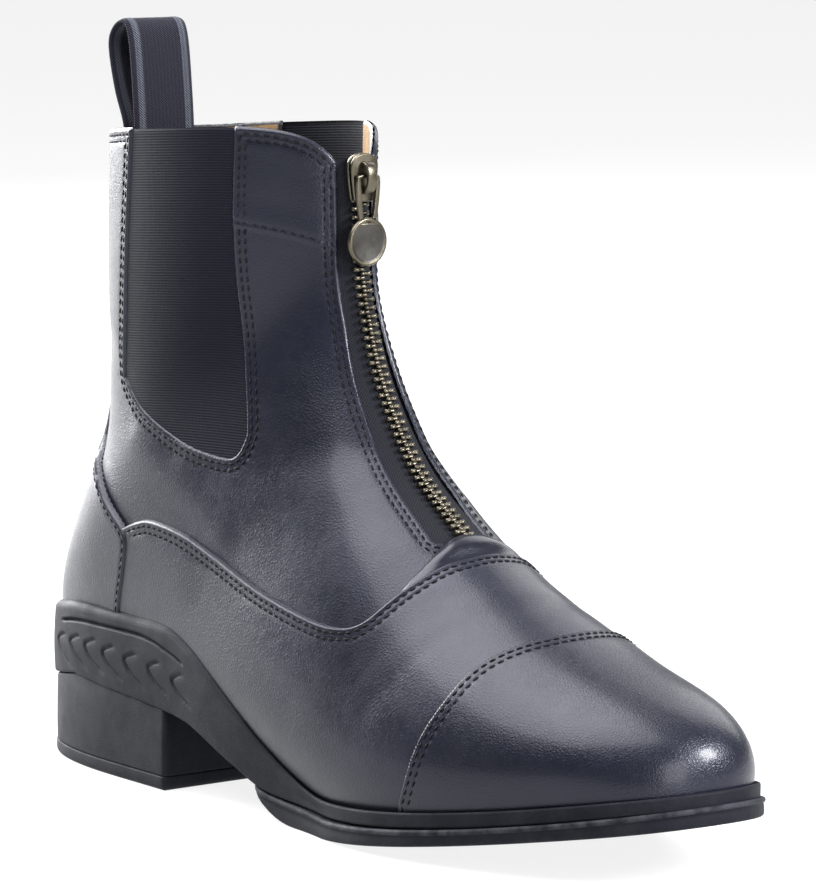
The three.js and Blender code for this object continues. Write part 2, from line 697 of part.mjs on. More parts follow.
// The heel block's top follows the cup and the start of the shank.
function heelTop(forward) {
  return Math.min(cupFoot(forward), lineHeight(underLine(), forward));
}

function lineHeight(line, forward) {
  for (let i = 1; i < line.length; i += 1) {
    const [a0, z0] = line[i - 1];
    const [a1, z1] = line[i];
    if (forward <= a1) return z0 + ((z1 - z0) * (forward - a0)) / (a1 - a0);
  }
  return line[line.length - 1][1];
}

function makeTopLift() {
  return standing(CUP_OUTLINE, 0, HEEL_LIFT_THICKNESS).intersect(heelSpace(-1, () => FAR));
}

function makeInsole() {
  const band = aboveFeather(GAP).subtract(aboveFeather(GAP + INSOLE_THICKNESS));
  return formAt(-WALL - GAP).intersect(band);
}

// The ridge line down the front: distance forward at a height on the shaft.
function ridgeAt(height) {
  let low = 0.3;
  let high = 1;
  for (let i = 0; i < 40; i += 1) {
    const middle = (low + high) / 2;
    if (lastPoint(middle, 0).z < height) low = middle;
    else high = middle;
  }
  return lastPoint((low + high) / 2, 0);
}

const SLIDER_TOP = SHAFT_HEIGHT - SLIDER_TOP_BELOW_COLLAR;
const SLIDER_FOOT = SLIDER_TOP - SLIDER_LENGTH;
const ZIP_CENTRE = ridgeAt(SLIDER_FOOT).y;
const SLIDER_SEAT = Math.max(ridgeAt(SLIDER_FOOT).x, ridgeAt(SLIDER_TOP).x);

function makeChain() {
  const left = ZIP_CENTRE - CHAIN_HALF_WIDTH;
  const right = ZIP_CENTRE + CHAIN_HALF_WIDTH;
  const foot = SLOT_FOOT_HEIGHT + 2 * CHAIN_THICKNESS;
  const top = SLIDER_FOOT - GAP;
  const strip = throughFront([[left, foot], [right, foot], [right, top], [left, top]], ZIP_BACK, ZIP_FRONT);
  const tab = throughSides(insetOutline(tabOutline(), -GAP));
  return sheet(0, CHAIN_THICKNESS).intersect(strip).subtract(tab);
}

// Slider: a plate with rounded shoulders on the chain, and a bridge that holds the pull.
const BRIDGE_CENTRE = (SLIDER_TOP + SLIDER_FOOT) / 2;
const PLATE_FRONT = SLIDER_SEAT + GAP + SLIDER_THICKNESS;
const PULL_AXIS_FORWARD = PLATE_FRONT + (BRIDGE_RISE - BRIDGE_BAR) / 2;
const PULL_AXIS_HEIGHT = BRIDGE_CENTRE;

const SLIDER_SHOULDER = 0.8;
const SLIDER_TAPER = 0.75;
function makeSlider() {
  const half = SLIDER_WIDTH / 2;
  const shoulder = half * SLIDER_SHOULDER;
  const plate = [];
  for (let i = 0; i <= ROUND_STEPS / 2; i += 1) {
    const turn = (Math.PI * i) / (ROUND_STEPS / 2);
    plate.push([ZIP_CENTRE + half * Math.cos(turn), SLIDER_TOP - shoulder * (1 - Math.sin(turn))]);
  }
  const foot = half * SLIDER_TAPER;
  plate.push([ZIP_CENTRE - foot, SLIDER_FOOT], [ZIP_CENTRE + foot, SLIDER_FOOT]);
  const body = throughFront(plate, SLIDER_SEAT + GAP, PLATE_FRONT);
  const low = BRIDGE_CENTRE - BRIDGE_LENGTH / 2;
  const high = BRIDGE_CENTRE + BRIDGE_LENGTH / 2;
  const front = PLATE_FRONT + BRIDGE_RISE;
  const root = PLATE_FRONT - SLIDER_THICKNESS / 2;
  const arch = [
    [root, low], [front - BRIDGE_BAR, low], [front, low + BRIDGE_BAR],
    [front, high - BRIDGE_BAR], [front - BRIDGE_BAR, high], [root, high],
    [root, high - BRIDGE_BAR], [front - BRIDGE_BAR, high - BRIDGE_BAR],
    [front - BRIDGE_BAR, low + BRIDGE_BAR], [root, low + BRIDGE_BAR],
  ];
  const bridge = throughSides(arch, BRIDGE_WIDTH / 2).translate([-ZIP_CENTRE, 0, 0]);
  return body.add(bridge);
}

// Pull: a bar through the bridge, two arms and a round disc with a raised rim.
const ARM_FOOT = 0.35;
const EYE_FOOT = 0.62;
function makePull() {
  const forward = PULL_AXIS_FORWARD;
  const top = PULL_AXIS_HEIGHT;
  const inner = BRIDGE_WIDTH / 2 + PULL_ARM_CLEARANCE;
  const outer = inner + PULL_ARM_WIDTH;
  const half = PULL_BAR_DIAMETER / 2;
  const disc = top - PULL_DROP;
  const upright = (reach, foot, head) => [
    [ZIP_CENTRE - reach, foot], [ZIP_CENTRE + reach, foot],
    [ZIP_CENTRE + reach, head], [ZIP_CENTRE - reach, head],
  ];
  const bar = throughSides(circle(forward, top, half, ROUND_STEPS / 3), outer).translate([-ZIP_CENTRE, 0, 0]);
  const frame = throughFront(
    upright(outer, disc + DISC_DIAMETER * ARM_FOOT, top + half), forward - half, forward + half,
  );
  const eye = throughFront(
    upright(inner, disc + DISC_DIAMETER * EYE_FOOT, top + 2 * half), forward - 2 * half, forward + 2 * half,
  );
  const round = (radius, from, to) =>
    throughFront(circle(ZIP_CENTRE, disc, radius, ROUND_STEPS), forward + from, forward + to);
  const plate = round(DISC_DIAMETER / 2, -DISC_THICKNESS / 2, DISC_THICKNESS / 2);
  const dish = round(DISC_DIAMETER / 2 - DISC_RIM, DISC_THICKNESS / 2 - DISC_DISH, DISC_THICKNESS);
  return frame.subtract(eye).add(bar).add(plate.subtract(dish));
}

function circle(x, y, radius, steps) {
  const points = [];
  for (let i = 0; i < steps; i += 1) {
    const turn = (2 * Math.PI * i) / steps;
    points.push([x + radius * Math.cos(turn), y + radius * Math.sin(turn)]);
  }
  return points;
}

// Distance outward of the back seam at the collar, which the loop and the badge are centred on.
const BACK_SEAM = lastPoint(0.95, Math.PI).y;

// Pull loop: a webbing band folded over, both ends tucked down inside the back of the collar.
function makePullLoop() {
  const collar = up(COLLAR_EDGE[1][1]);
  const seat = loopSeat();
  const route = [
    [0, -LOOP_TUCK], [0, -LOOP_TUCK * 0.4], [0, LOOP_RISE * 0.06], [-LOOP_LEAN * 0.6, LOOP_RISE * 0.4],
    [-LOOP_LEAN, LOOP_RISE * 0.78], [-LOOP_LEAN * 0.7, LOOP_RISE * 0.95], [-LOOP_LEAN * 0.1, LOOP_RISE],
    [LOOP_SPREAD * 0.4, LOOP_RISE * 0.85], [LOOP_SPREAD * 0.8, LOOP_RISE * 0.4], [LOOP_SPREAD, 0],
    [LOOP_SPREAD * 0.75, -LOOP_TUCK * 0.35], [WEBBING, -LOOP_TUCK * 0.75], [WEBBING, -LOOP_TUCK],
  ];
  const curve = new THREE.SplineCurve(route.map(([a, z]) => new THREE.Vector2(seat + a, collar + z)));
  const line = curve.getPoints((route.length - 1) * LOOP_STEPS).map((p) => [p.x, p.y]);
  const outside = insetPath(line, -WEBBING / 2);
  const inside = insetPath(line, WEBBING / 2);
  const hole = [];
  for (const [a, z] of inside) {
    if (z > collar - LOOP_TUCK * 0.6) hole.push([a, z]);
  }
  const band = throughSides(outside, LOOP_WIDTH / 2);
  return band.subtract(throughSides(hole, LOOP_WIDTH)).translate([-BACK_SEAM, 0, 0]);
}

function insetPath(line, amount) {
  return line.map(([x, y], i) => {
    const [x0, y0] = line[Math.max(0, i - 1)];
    const [x1, y1] = line[Math.min(line.length - 1, i + 1)];
    const length = Math.hypot(x1 - x0, y1 - y0);
    return [x + (amount * (y1 - y0)) / length, y - (amount * (x1 - x0)) / length];
  });
}

// Where the flat webbing clears the curved inside of the collar at its edges.
const SEAT_STEPS = 200;
function loopSeat() {
  const height = up(COLLAR_EDGE[1][1]) - LOOP_TUCK;
  let forward = 0;
  for (const side of [1, -1]) {
    for (let i = 0; i <= SEAT_STEPS; i += 1) {
      const angle = side * (Math.PI / 2) * (1 + i / SEAT_STEPS);
      for (let q = 0.84; q < 1; q += 0.01) {
        const point = lastPoint(q, angle).addScaledVector(lastNormal(q, angle), -WALL);
        const aside = Math.abs(point.y - BACK_SEAM);
        const isNear = point.z > height - LOOP_TUCK / 4 && aside <= LOOP_WIDTH / 2 + GAP;
        if (isNear) forward = Math.max(forward, point.x);
      }
    }
  }
  return forward + GAP + WEBBING / 2;
}

// Oval badge on the back strip, left bare.
function makeBadge() {
  const height = up(COLLAR_EDGE[1][1]) - BADGE_BELOW_COLLAR;
  const outline = [];
  for (let i = 0; i < ROUND_STEPS; i += 1) {
    const turn = (2 * Math.PI * i) / ROUND_STEPS;
    outline.push([
      BACK_SEAM + (BADGE_WIDTH / 2) * Math.cos(turn), height + (BADGE_HEIGHT / 2) * Math.sin(turn),
    ]);
  }
  const skin = GAP + COUNTER_THICKNESS + GAP;
  const oval = throughFront(outline, -BOOT_LENGTH, BOOT_LENGTH / 5);
  return sheet(skin, skin + BADGE_THICKNESS).intersect(oval);
}

// Materials
const finishes = {
  leather: { color: 0x1b1f2a, roughness: 0.42, metalness: 0 },
  tab_leather: { color: 0x1a1e28, roughness: 0.3, metalness: 0 },
  elastic: { color: 0x1c2029, roughness: 0.9, metalness: 0 },
  tape: { color: 0x15181f, roughness: 0.95, metalness: 0 },
  webbing: { color: 0x23262f, roughness: 0.95, metalness: 0 },
  brass: { color: 0x7d6f52, roughness: 0.4, metalness: 1 },
  steel: { color: 0xb4b4b4, roughness: 0.25, metalness: 1 },
  rubber: { color: 0x24272c, roughness: 0.75, metalness: 0 },
  insole: { color: 0x9c7a52, roughness: 0.9, metalness: 0 },
};

const boot = new THREE.Group();

function addPiece(name, solid, finish) {
  const mesh = new THREE.Mesh(geometryOf(solid), new THREE.MeshStandardMaterial(finishes[finish]));
  mesh.name = name;
  boot.add(mesh);
}

addPiece('upper', makeUpper(), 'leather');
addPiece('vamp_overlay', makeVamp(), 'leather');
addPiece('toe_cap', makeToeCap(), 'leather');
addPiece('counter', makeCounter(), 'leather');
addPiece('zip_foot_tab', makeTab(), 'tab_leather');
addPiece('gore_outer', makeGore(1), 'elastic');
addPiece('gore_inner', makeGore(-1), 'elastic');
addPiece('zip_tape', makeTape(), 'tape');
addPiece('zip_chain', makeChain(), 'brass');
addPiece('zip_slider', makeSlider(), 'brass');
addPiece('zip_pull', makePull(), 'brass');
addPiece('pull_loop', makePullLoop(), 'webbing');
addPiece('back_badge', makeBadge(), 'steel');
addPiece('insole', makeInsole(), 'insole');
addPiece('sole_unit', makeSoleUnit(), 'rubber');
addPiece('outsole', makeOutsole(), 'rubber');
addPiece('heel_block', makeHeelBlock(), 'rubber');
addPiece('heel_top_lift', makeTopLift(), 'rubber');

// The origin lies on the floor under the middle of the boot's box.
const middle = new THREE.Box3().setFromObject(boot).getCenter(new THREE.Vector3());
boot.position.set(-middle.x, -middle.y, 0);

export default boot;
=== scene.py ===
"""Paddock boot, right foot: leather, elastic gores, front zip, pull loop and heeled rubber sole.

Sizes are millimetres in the boot's own axes (forward from the heel's back, outward, height) until
place() turns them into the frame's metres.
"""
import json
import math

import bmesh
import bpy
import numpy as np
from bpy.props import FloatProperty, FloatVectorProperty, PointerProperty
from mathutils import Matrix, Vector
from mathutils.geometry import delaunay_2d_cdt
from mathutils.kdtree import KDTree


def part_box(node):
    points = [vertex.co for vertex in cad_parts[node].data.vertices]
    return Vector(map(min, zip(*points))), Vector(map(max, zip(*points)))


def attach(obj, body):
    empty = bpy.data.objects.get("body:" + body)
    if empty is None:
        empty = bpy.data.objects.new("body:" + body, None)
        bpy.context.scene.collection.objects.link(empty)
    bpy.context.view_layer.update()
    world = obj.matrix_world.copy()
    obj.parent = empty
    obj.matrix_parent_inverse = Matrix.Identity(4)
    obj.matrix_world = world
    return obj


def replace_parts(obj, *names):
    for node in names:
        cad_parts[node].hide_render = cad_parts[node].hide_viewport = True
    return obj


bl_info = {
    "name": "Paddock boot",
    "version": (1, 0, 0),
    "blender": (4, 5, 0),
    "location": "3D View > Sidebar > Boot",
    "description": "Builds a leather paddock boot round its CAD frame",
    "category": "Add Mesh",
}

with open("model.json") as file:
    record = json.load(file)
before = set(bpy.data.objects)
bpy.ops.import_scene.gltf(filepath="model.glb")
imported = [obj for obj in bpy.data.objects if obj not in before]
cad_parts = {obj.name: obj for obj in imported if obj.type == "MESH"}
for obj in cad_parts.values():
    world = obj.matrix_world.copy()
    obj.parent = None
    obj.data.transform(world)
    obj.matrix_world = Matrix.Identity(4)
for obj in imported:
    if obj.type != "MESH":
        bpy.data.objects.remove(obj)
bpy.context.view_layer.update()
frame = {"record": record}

MM = 0.001
BODY = "boot"
PULL_BODY = "pull_tab"

# Driving sizes of the last and the leather, as in the CAD.
BOOT_LENGTH = 271.0
BALL_WIDTH = 87.0
INSTEP_HEIGHT = 95.5
SHAFT_HEIGHT = 188.5
COLLAR_WIDTH = 60.5
WALL = 2.0
GAP = 0.3
VAMP_THICKNESS = 1.3
TOE_CAP_THICKNESS = 2.0
COUNTER_THICKNESS = 1.8
TAB_THICKNESS = 1.0
HEEL_SEAT_HEIGHT = 47.6
HEEL_BACK_DROP = 4.6
BALL_SEAT_HEIGHT = 10.3
TOE_SPRING = 17.0
OUTSOLE_THICKNESS = 6.0
HEEL_CUP_HEIGHT = 20.5
HEEL_LIFT_THICKNESS = 4.0
HEEL_LENGTH = 76.0
SLOT_FOOT_HEIGHT = 80.0
SLOT_HALF_TOP = 6.0
SLOT_HALF_FOOT = 9.5

# How the boot's own axes lie in the frame.
MIDDLE = BOOT_LENGTH / 2
SHIFT_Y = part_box("heel_top_lift")[0].y / MM - (MIDDLE - HEEL_LENGTH)
SHIFT_X = (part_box("zip_slider")[0].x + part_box("zip_slider")[1].x) / 2 / MM

LAST = np.array([
    [0.940, 0.104, 0.940, 0.104, 0.50, 0.000, 0.000, 0.00, 0.00, -0.098, -0.098],
    [0.955, 0.187, 0.910, 0.031, 0.55, 0.135, 0.095, 0.00, 0.02, -0.098, -0.098],
    [0.960, 0.269, 0.884, 0.000, 0.55, 0.207, 0.155, 0.00, 0.03, -0.098, -0.095],
    [0.954, 0.352, 0.855, -0.010, 0.52, 0.276, 0.222, 0.00, 0.04, -0.098, -0.087],
    [0.930, 0.420, 0.818, -0.020, 0.50, 0.340, 0.286, 0.01, 0.05, -0.095, -0.078],
    [0.885, 0.478, 0.775, -0.031, 0.47, 0.408, 0.364, 0.01, 0.06, -0.087, -0.067],
    [0.817, 0.543, 0.721, -0.041, 0.43, 0.463, 0.428, 0.00, 0.06, -0.067, -0.046],
    [0.741, 0.636, 0.652, -0.052, 0.39, 0.490, 0.470, 0.00, 0.05, -0.046, -0.015],
    [0.664, 0.752, 0.572, -0.041, 0.36, 0.480, 0.478, -0.02, 0.03, -0.023, 0.000],
    [0.600, 0.876, 0.476, 0.010, 0.37, 0.455, 0.465, 0.01, -0.02, 0.000, 0.006],
    [0.544, 1.000, 0.354, 0.083, 0.40, 0.420, 0.430, 0.02, -0.05, 0.006, 0.006],
    [0.506, 1.145, 0.222, 0.124, 0.44, 0.400, 0.415, 0.00, -0.05, 0.006, -0.006],
    [0.476, 1.306, 0.094, 0.187, 0.48, 0.398, 0.412, -0.02, -0.02, 0.000, -0.018],
    [0.458, 1.468, 0.003, 0.373, 0.50, 0.402, 0.405, -0.05, 0.02, 0.000, -0.022],
    [0.448, 1.608, 0.042, 0.705, 0.50, 0.410, 0.410, -0.07, 0.02, 0.000, -0.014],
    [0.445, 1.737, 0.083, 0.960, 0.50, 0.436, 0.435, -0.07, 0.02, 0.000, 0.004],
    [0.443, 1.866, 0.092, 1.400, 0.50, 0.478, 0.461, -0.07, 0.03, 0.000, 0.018],
    [0.443, 2.000, 0.093, 1.941, 0.50, 0.508, 0.488, -0.07, 0.03, 0.000, 0.020],
    [0.443, 2.120, 0.093, 2.070, 0.50, 0.508, 0.488, -0.07, 0.03, 0.000, 0.020],
])


def smooth(x, low, high):
    t = np.clip((np.asarray(x, float) - low) / (high - low), 0, 1)
    return t * t * (3 - 2 * t)


def mix(a, b, t):
    return a + (b - a) * t


def up(share):
    """Height of a share: up to 1 of the instep, from 1 to 2 of the shaft above it."""
    share = np.asarray(share, float)
    return np.where(share <= 1, share * INSTEP_HEIGHT, INSTEP_HEIGHT + (share - 1) * (SHAFT_HEIGHT - INSTEP_HEIGHT))


def natural_spline(x, rows):
    """Function of place along x that gives a row between the given rows, bent as little as can be."""
    n = len(x)
    h = np.diff(x)
    matrix = np.eye(n)
    right = np.zeros_like(rows)
    for i in range(1, n - 1):
        matrix[i, i - 1:i + 2] = h[i - 1], 2 * (h[i - 1] + h[i]), h[i]
        right[i] = 6 * ((rows[i + 1] - rows[i]) / h[i] - (rows[i] - rows[i - 1]) / h[i - 1])
    bends = np.linalg.solve(matrix, right)

    def at(place):
        k = np.clip(np.searchsorted(x, place, side="right") - 1, 0, n - 2)
        t = (place - x[k])[..., None]
        step = h[k][..., None]
        slope = (rows[k + 1] - rows[k]) / step - step * (2 * bends[k] + bends[k + 1]) / 6
        return rows[k] + t * slope + t * t * bends[k] / 2 + t ** 3 * (bends[k + 1] - bends[k]) / (6 * step)

    return at


def section_table():
    rows = LAST.copy()
    width = mix(BALL_WIDTH, COLLAR_WIDTH, np.clip(rows[:, 1] - 1, 0, 1))
    rows[:, [1, 3]] = up(rows[:, [1, 3]])
    rows[:, [0, 2]] *= BOOT_LENGTH
    for column in (5, 6, 9, 10):
        rows[:, column] *= width
    steps = np.diff(rows[:, :4], axis=0)
    lengths = (np.hypot(steps[:, 0], steps[:, 1]) + np.hypot(steps[:, 2], steps[:, 3])) / 2
    places = np.concatenate([[0], np.cumsum(lengths)])
    return places / places[-1], rows, places[-1]


SECTION_PLACES, SECTION_ROWS, FORM_LENGTH = section_table()
section_at = natural_spline(SECTION_PLACES, SECTION_ROWS)


def last_point(q, angle):
    """Points of the last: q from toe 0 to top 1, angle 0 on the front ridge to pi at the back, outer side positive."""
    q, angle = np.broadcast_arrays(np.asarray(q, float), np.asarray(angle, float))
    rows = np.moveaxis(section_at(q), -1, 0)
    fa, fu, ba, bu, core, outer, inner, front_square, back_square, front_shift, back_shift = rows
    c = np.cos(angle)
    square = front_square + (back_square - front_square) * (1 - c) / 2
    reach = 1 + square * np.sin(2 * angle) ** 2
    forward = c * reach
    share = core + forward * np.where(forward > 0, 1 - core, core)
    half = np.where(np.sin(angle) > 0, outer, inner)
    shift = back_shift + (front_shift - back_shift) * share
    return np.stack([ba + (fa - ba) * share, shift + half * np.sin(angle) * reach, bu + (fu - bu) * share], -1)


def slopes(q, angle):
    step_q, step_angle = 0.002, 0.01
    along_q = last_point(np.minimum(q + step_q, 1), angle) - last_point(np.maximum(q - step_q, 0), angle)
    run_q = np.minimum(q + step_q, 1) - np.maximum(q - step_q, 0)
    turn = last_point(q, angle + step_angle) - last_point(q, angle - step_angle)
    return along_q / run_q[..., None], turn / (2 * step_angle)


def last_normal(q, angle):
    along_q, turn = slopes(q, angle)
    normal = np.cross(turn, along_q)
    return normal / np.maximum(np.linalg.norm(normal, axis=-1, keepdims=True), 1e-9)


def catmull(rows, steps=10):
    """Smooth line through points, as the CAD draws it."""
    p = np.asarray(rows, float)
    p = np.vstack([p[:1], p, p[-1:]])
    out = []
    for i in range(1, len(p) - 2):
        for t in np.arange(steps) / steps:
            v0, v1 = (p[i + 1] - p[i - 1]) / 2, (p[i + 2] - p[i]) / 2
            out.append((2 * p[i] - 2 * p[i + 1] + v0 + v1) * t ** 3
                       + (-3 * p[i] + 3 * p[i + 1] - 2 * v0 - v1) * t ** 2 + v0 * t + p[i])
    return np.array(out + [p[-2]])


def side_curve(rows, steps=8):
    rows = np.array(rows, float)
    rows[:, 0] *= BOOT_LENGTH
    rows[:, 1] = up(rows[:, 1])
    return catmull(rows, steps)


def side_distance(points, line, closed=False):
    """Distance in side view from a line of (forward, height) points, positive to its left."""
    p = points[..., [0, 2]].reshape(-1, 2)
    best = np.full(len(p), 1e18)
    lean = np.zeros(len(p))
    sign = np.ones(len(p))
    ends = np.roll(line, -1, axis=0) if closed else line[1:]
    for a, b in zip(line, ends):
        ab = b - a
        length = np.hypot(*ab)
        if length < 1e-9:
            continue
        ap = p - a
        t = np.clip((ap @ ab) / length ** 2, 0, 1)
        away = ap - t[:, None] * ab
        distance = (away ** 2).sum(1)
        cross = (ab[0] * ap[:, 1] - ab[1] * ap[:, 0]) / length
        closer = (distance < best - 1e-7) | ((distance < best + 1e-7) & (np.abs(cross) > lean))
        best = np.where(closer, np.minimum(distance, best), best)
        lean = np.where(closer, np.abs(cross), lean)
        sign = np.where(closer, np.sign(cross), sign)
    return (np.sqrt(best) * sign).reshape(points.shape[:-1])


FAR = 600.0
COLLAR_EDGE = side_curve([
    [-0.1, 1.950], [0.093, 1.953], [0.2, 1.979], [0.3, 2.001], [0.352, 2.009], [0.385, 2.006], [0.408, 1.994],
    [0.423, 1.972], [0.433, 1.938], [0.441, 1.890], [0.46, 1.82],
])
GORE_BACK = side_curve([[0.210, 2.1], [0.196, 1.55], [0.182, 1.215]])
GORE_FOOT = side_curve([
    [0.182, 1.215], [0.218, 1.13], [0.29, 1.045], [0.352, 1.018], [0.37, 1.035], [0.377, 1.09],
])
GORE_FRONT = side_curve([[0.377, 1.09], [0.357, 1.42], [0.357, 2.1]])
GORE_WINDOW = np.vstack([GORE_BACK, GORE_FOOT[1:], GORE_FRONT[1:]])
COUNTER_EDGE = side_curve([
    [0.180, 0.30], [0.186, 0.48], [0.203, 0.62], [0.210, 0.72], [0.200, 0.765], [0.170, 0.826],
    [0.144, 0.89], [0.116, 0.97], [0.103, 1.15], [0.099, 1.45], [0.0985, 1.75], [0.0985, 2.1],
])
VAMP_EDGE = side_curve([
    [0.200, 0.765], [0.225, 0.79], [0.252, 0.801], [0.305, 0.782], [0.366, 0.732], [0.439, 0.671],
    [0.517, 0.622], [0.565, 0.602], [0.596, 0.622], [0.618, 0.71], [0.632, 0.774], [0.641, 0.80],
    [0.652, 0.88],
])
TOE_SEAM = side_curve([
    [0.680, 0.02], [0.688, 0.14], [0.700, 0.226], [0.712, 0.341], [0.724, 0.438], [0.734, 0.53],
    [0.748, 0.582], [0.764, 0.608], [0.772, 0.625], [0.780, 0.75],
])
TAB_EDGE = side_curve([
    [0.612, 0.60], [0.6125, 0.66], [0.6165, 0.72], [0.619, 0.77], [0.6175, 0.81], [0.6125, 0.85], [0.606, 0.93]])


def feather_height(forward):
    """Height of the line where the upper meets the sole."""
    share = np.asarray(forward, float) / BOOT_LENGTH
    back = smooth(share, -0.13, 0.13) * 2 - 1
    seat = HEEL_SEAT_HEIGHT - HEEL_BACK_DROP * (1 - back)
    toe = np.maximum(0, (share - 0.572) / (1 - 0.572))
    return mix(seat, BALL_SEAT_HEIGHT, smooth(share, 0.266, 0.572)) + TOE_SPRING * toe ** 1.5


def slot_half(height):
    t = np.clip((height - SLOT_FOOT_HEIGHT) / (SHAFT_HEIGHT - SLOT_FOOT_HEIGHT) * 2, 0, 1)
    return mix(SLOT_HALF_FOOT, SLOT_HALF_TOP, t)


# Fields over the last: positive inside, in millimetres from the edge near it.
UNDER_FEATHER = 1.6


def over_sole(p):
    return p[..., 2] - feather_height(p[..., 0]) + UNDER_FEATHER


def below_collar(p):
    return -side_distance(p, COLLAR_EDGE)


def in_slot(p):
    return np.minimum.reduce([slot_half(p[..., 2]) - np.abs(p[..., 1]), p[..., 2] - SLOT_FOOT_HEIGHT,
                              p[..., 0] - 100.0])


def in_gore(p):
    return side_distance(p, GORE_WINDOW, closed=True)


# Half width of the back strip at each height; below it flares into the counter.
STRIP_HALF = np.array([
    [86, 17.6], [92.6, 15.2], [100, 13.0], [109, 11.2], [122, 9.3], [136, 8.4], [160, 8.0], [200, 8.0]])
BACK_LINE = last_point(np.linspace(0.6, 1.0, 80), np.full(80, math.pi))


def in_strip(p):
    centre = np.interp(p[..., 2], BACK_LINE[:, 2], BACK_LINE[:, 1])
    half = np.interp(p[..., 2], STRIP_HALF[:, 0], STRIP_HALF[:, 1])
    return np.where(p[..., 0] < 60, half - np.abs(p[..., 1] - centre), -20.0)


def in_counter(p):
    flare = side_distance(p, np.vstack([[COUNTER_EDGE[0][0], -FAR], COUNTER_EDGE]))
    return mix(flare, in_strip(p), smooth(p[..., 2], 86, 98))


def shell_region(p):
    return np.minimum.reduce([over_sole(p), below_collar(p), -in_slot(p), -in_gore(p)])


def vamp_region(p):
    edge = np.vstack([[VAMP_EDGE[0][0] - 60, VAMP_EDGE[0][1] - 8], VAMP_EDGE])
    return np.minimum.reduce([over_sole(p), -side_distance(p, edge), side_distance(p, TOE_SEAM) + 2.5,
                              1.5 - in_counter(p)])


def cap_region(p):
    return np.minimum(over_sole(p), -side_distance(p, TOE_SEAM))


def counter_region(p):
    return np.minimum.reduce([over_sole(p), in_counter(p), below_collar(p)])


def tab_region(p):
    return np.minimum.reduce([
        -side_distance(p, TAB_EDGE), side_distance(p, VAMP_EDGE) + 3.0, p[..., 2] - 55, p[..., 0] - 140])


# Soft hollows (negative) and swellings in the leather: side (1 outer, -1 inner, 0 both), points in side
# view, half width and height.
CREASES = [
    (0, [[196, 66], [186, 58], [178, 47], [172, 36]], 3.2, -0.17),
    (1, [[186, 62], [178, 52], [170, 41], [165, 31]], 5.0, 0.10),
    (1, [[150, 108], [138, 104], [126, 101], [112, 101]], 6.0, -0.32),
    (1, [[146, 92], [132, 90], [116, 89], [100, 90]], 6.5, 0.22),
    (-1, [[150, 106], [136, 101], [122, 98], [108, 99]], 6.0, -0.32),
    (1, [[120, 130], [112, 122], [106, 112]], 6.0, -0.2),
    (0, [[30, 128], [44, 117], [56, 104], [74, 96]], 4.6, -0.45),
    (1, [[58, 98], [76, 90], [98, 78]], 5.5, 0.55),
    (-1, [[122, 180], [123, 150], [129, 122], [140, 102], [150, 92]], 8.0, 1.0),
    (1, [[95, 58], [118, 46], [140, 36]], 9.0, -0.35),
    (-1, [[90, 60], [116, 47], [140, 36]], 9.0, -0.35),
    (0, [[40, 84], [36, 70], [36, 56]], 9.0, 0.2),
]
CREASE_LINES = [(side, catmull(points, 4), width, height) for side, points, width, height in CREASES]


def relief(p):
    """How far the leather, shaped by wear, lies in or out of the last."""
    total = np.zeros(p.shape[:-1])
    for side, line, width, height in CREASE_LINES:
        distance = np.abs(side_distance(p, line))
        part = height * np.exp(-(distance / width) ** 2)
        if side:
            part = part * smooth(side * p[..., 1], -4, 8)
        total += part
    return total


def surface(q, angle, offset):
    return last_point(q, angle) + last_normal(q, angle) * np.asarray(offset)[..., None]


# Triangulated sheets on the last

GRID_ROWS = 560
GRID_COLUMNS = 520
_grids = {}


def last_grid(centre):
    if centre not in _grids:
        q = np.linspace(0.0, 1.0, GRID_ROWS)
        angle = np.linspace(centre - math.pi, centre + math.pi, GRID_COLUMNS)
        _grids[centre] = q, angle, last_point(q[:, None], angle[None, :])
    return _grids[centre]


def girth_table():
    q = np.linspace(0, 1, 160)
    ring = last_point(q[:, None], np.linspace(-math.pi, math.pi, 181)[None, :])
    around = np.linalg.norm(np.diff(ring, axis=1), axis=-1).sum(1)
    return q, np.maximum(around, 20) / (2 * math.pi)


GIRTH_PLACES, GIRTHS = girth_table()


def girth(q):
    return np.interp(q, GIRTH_PLACES, GIRTHS)


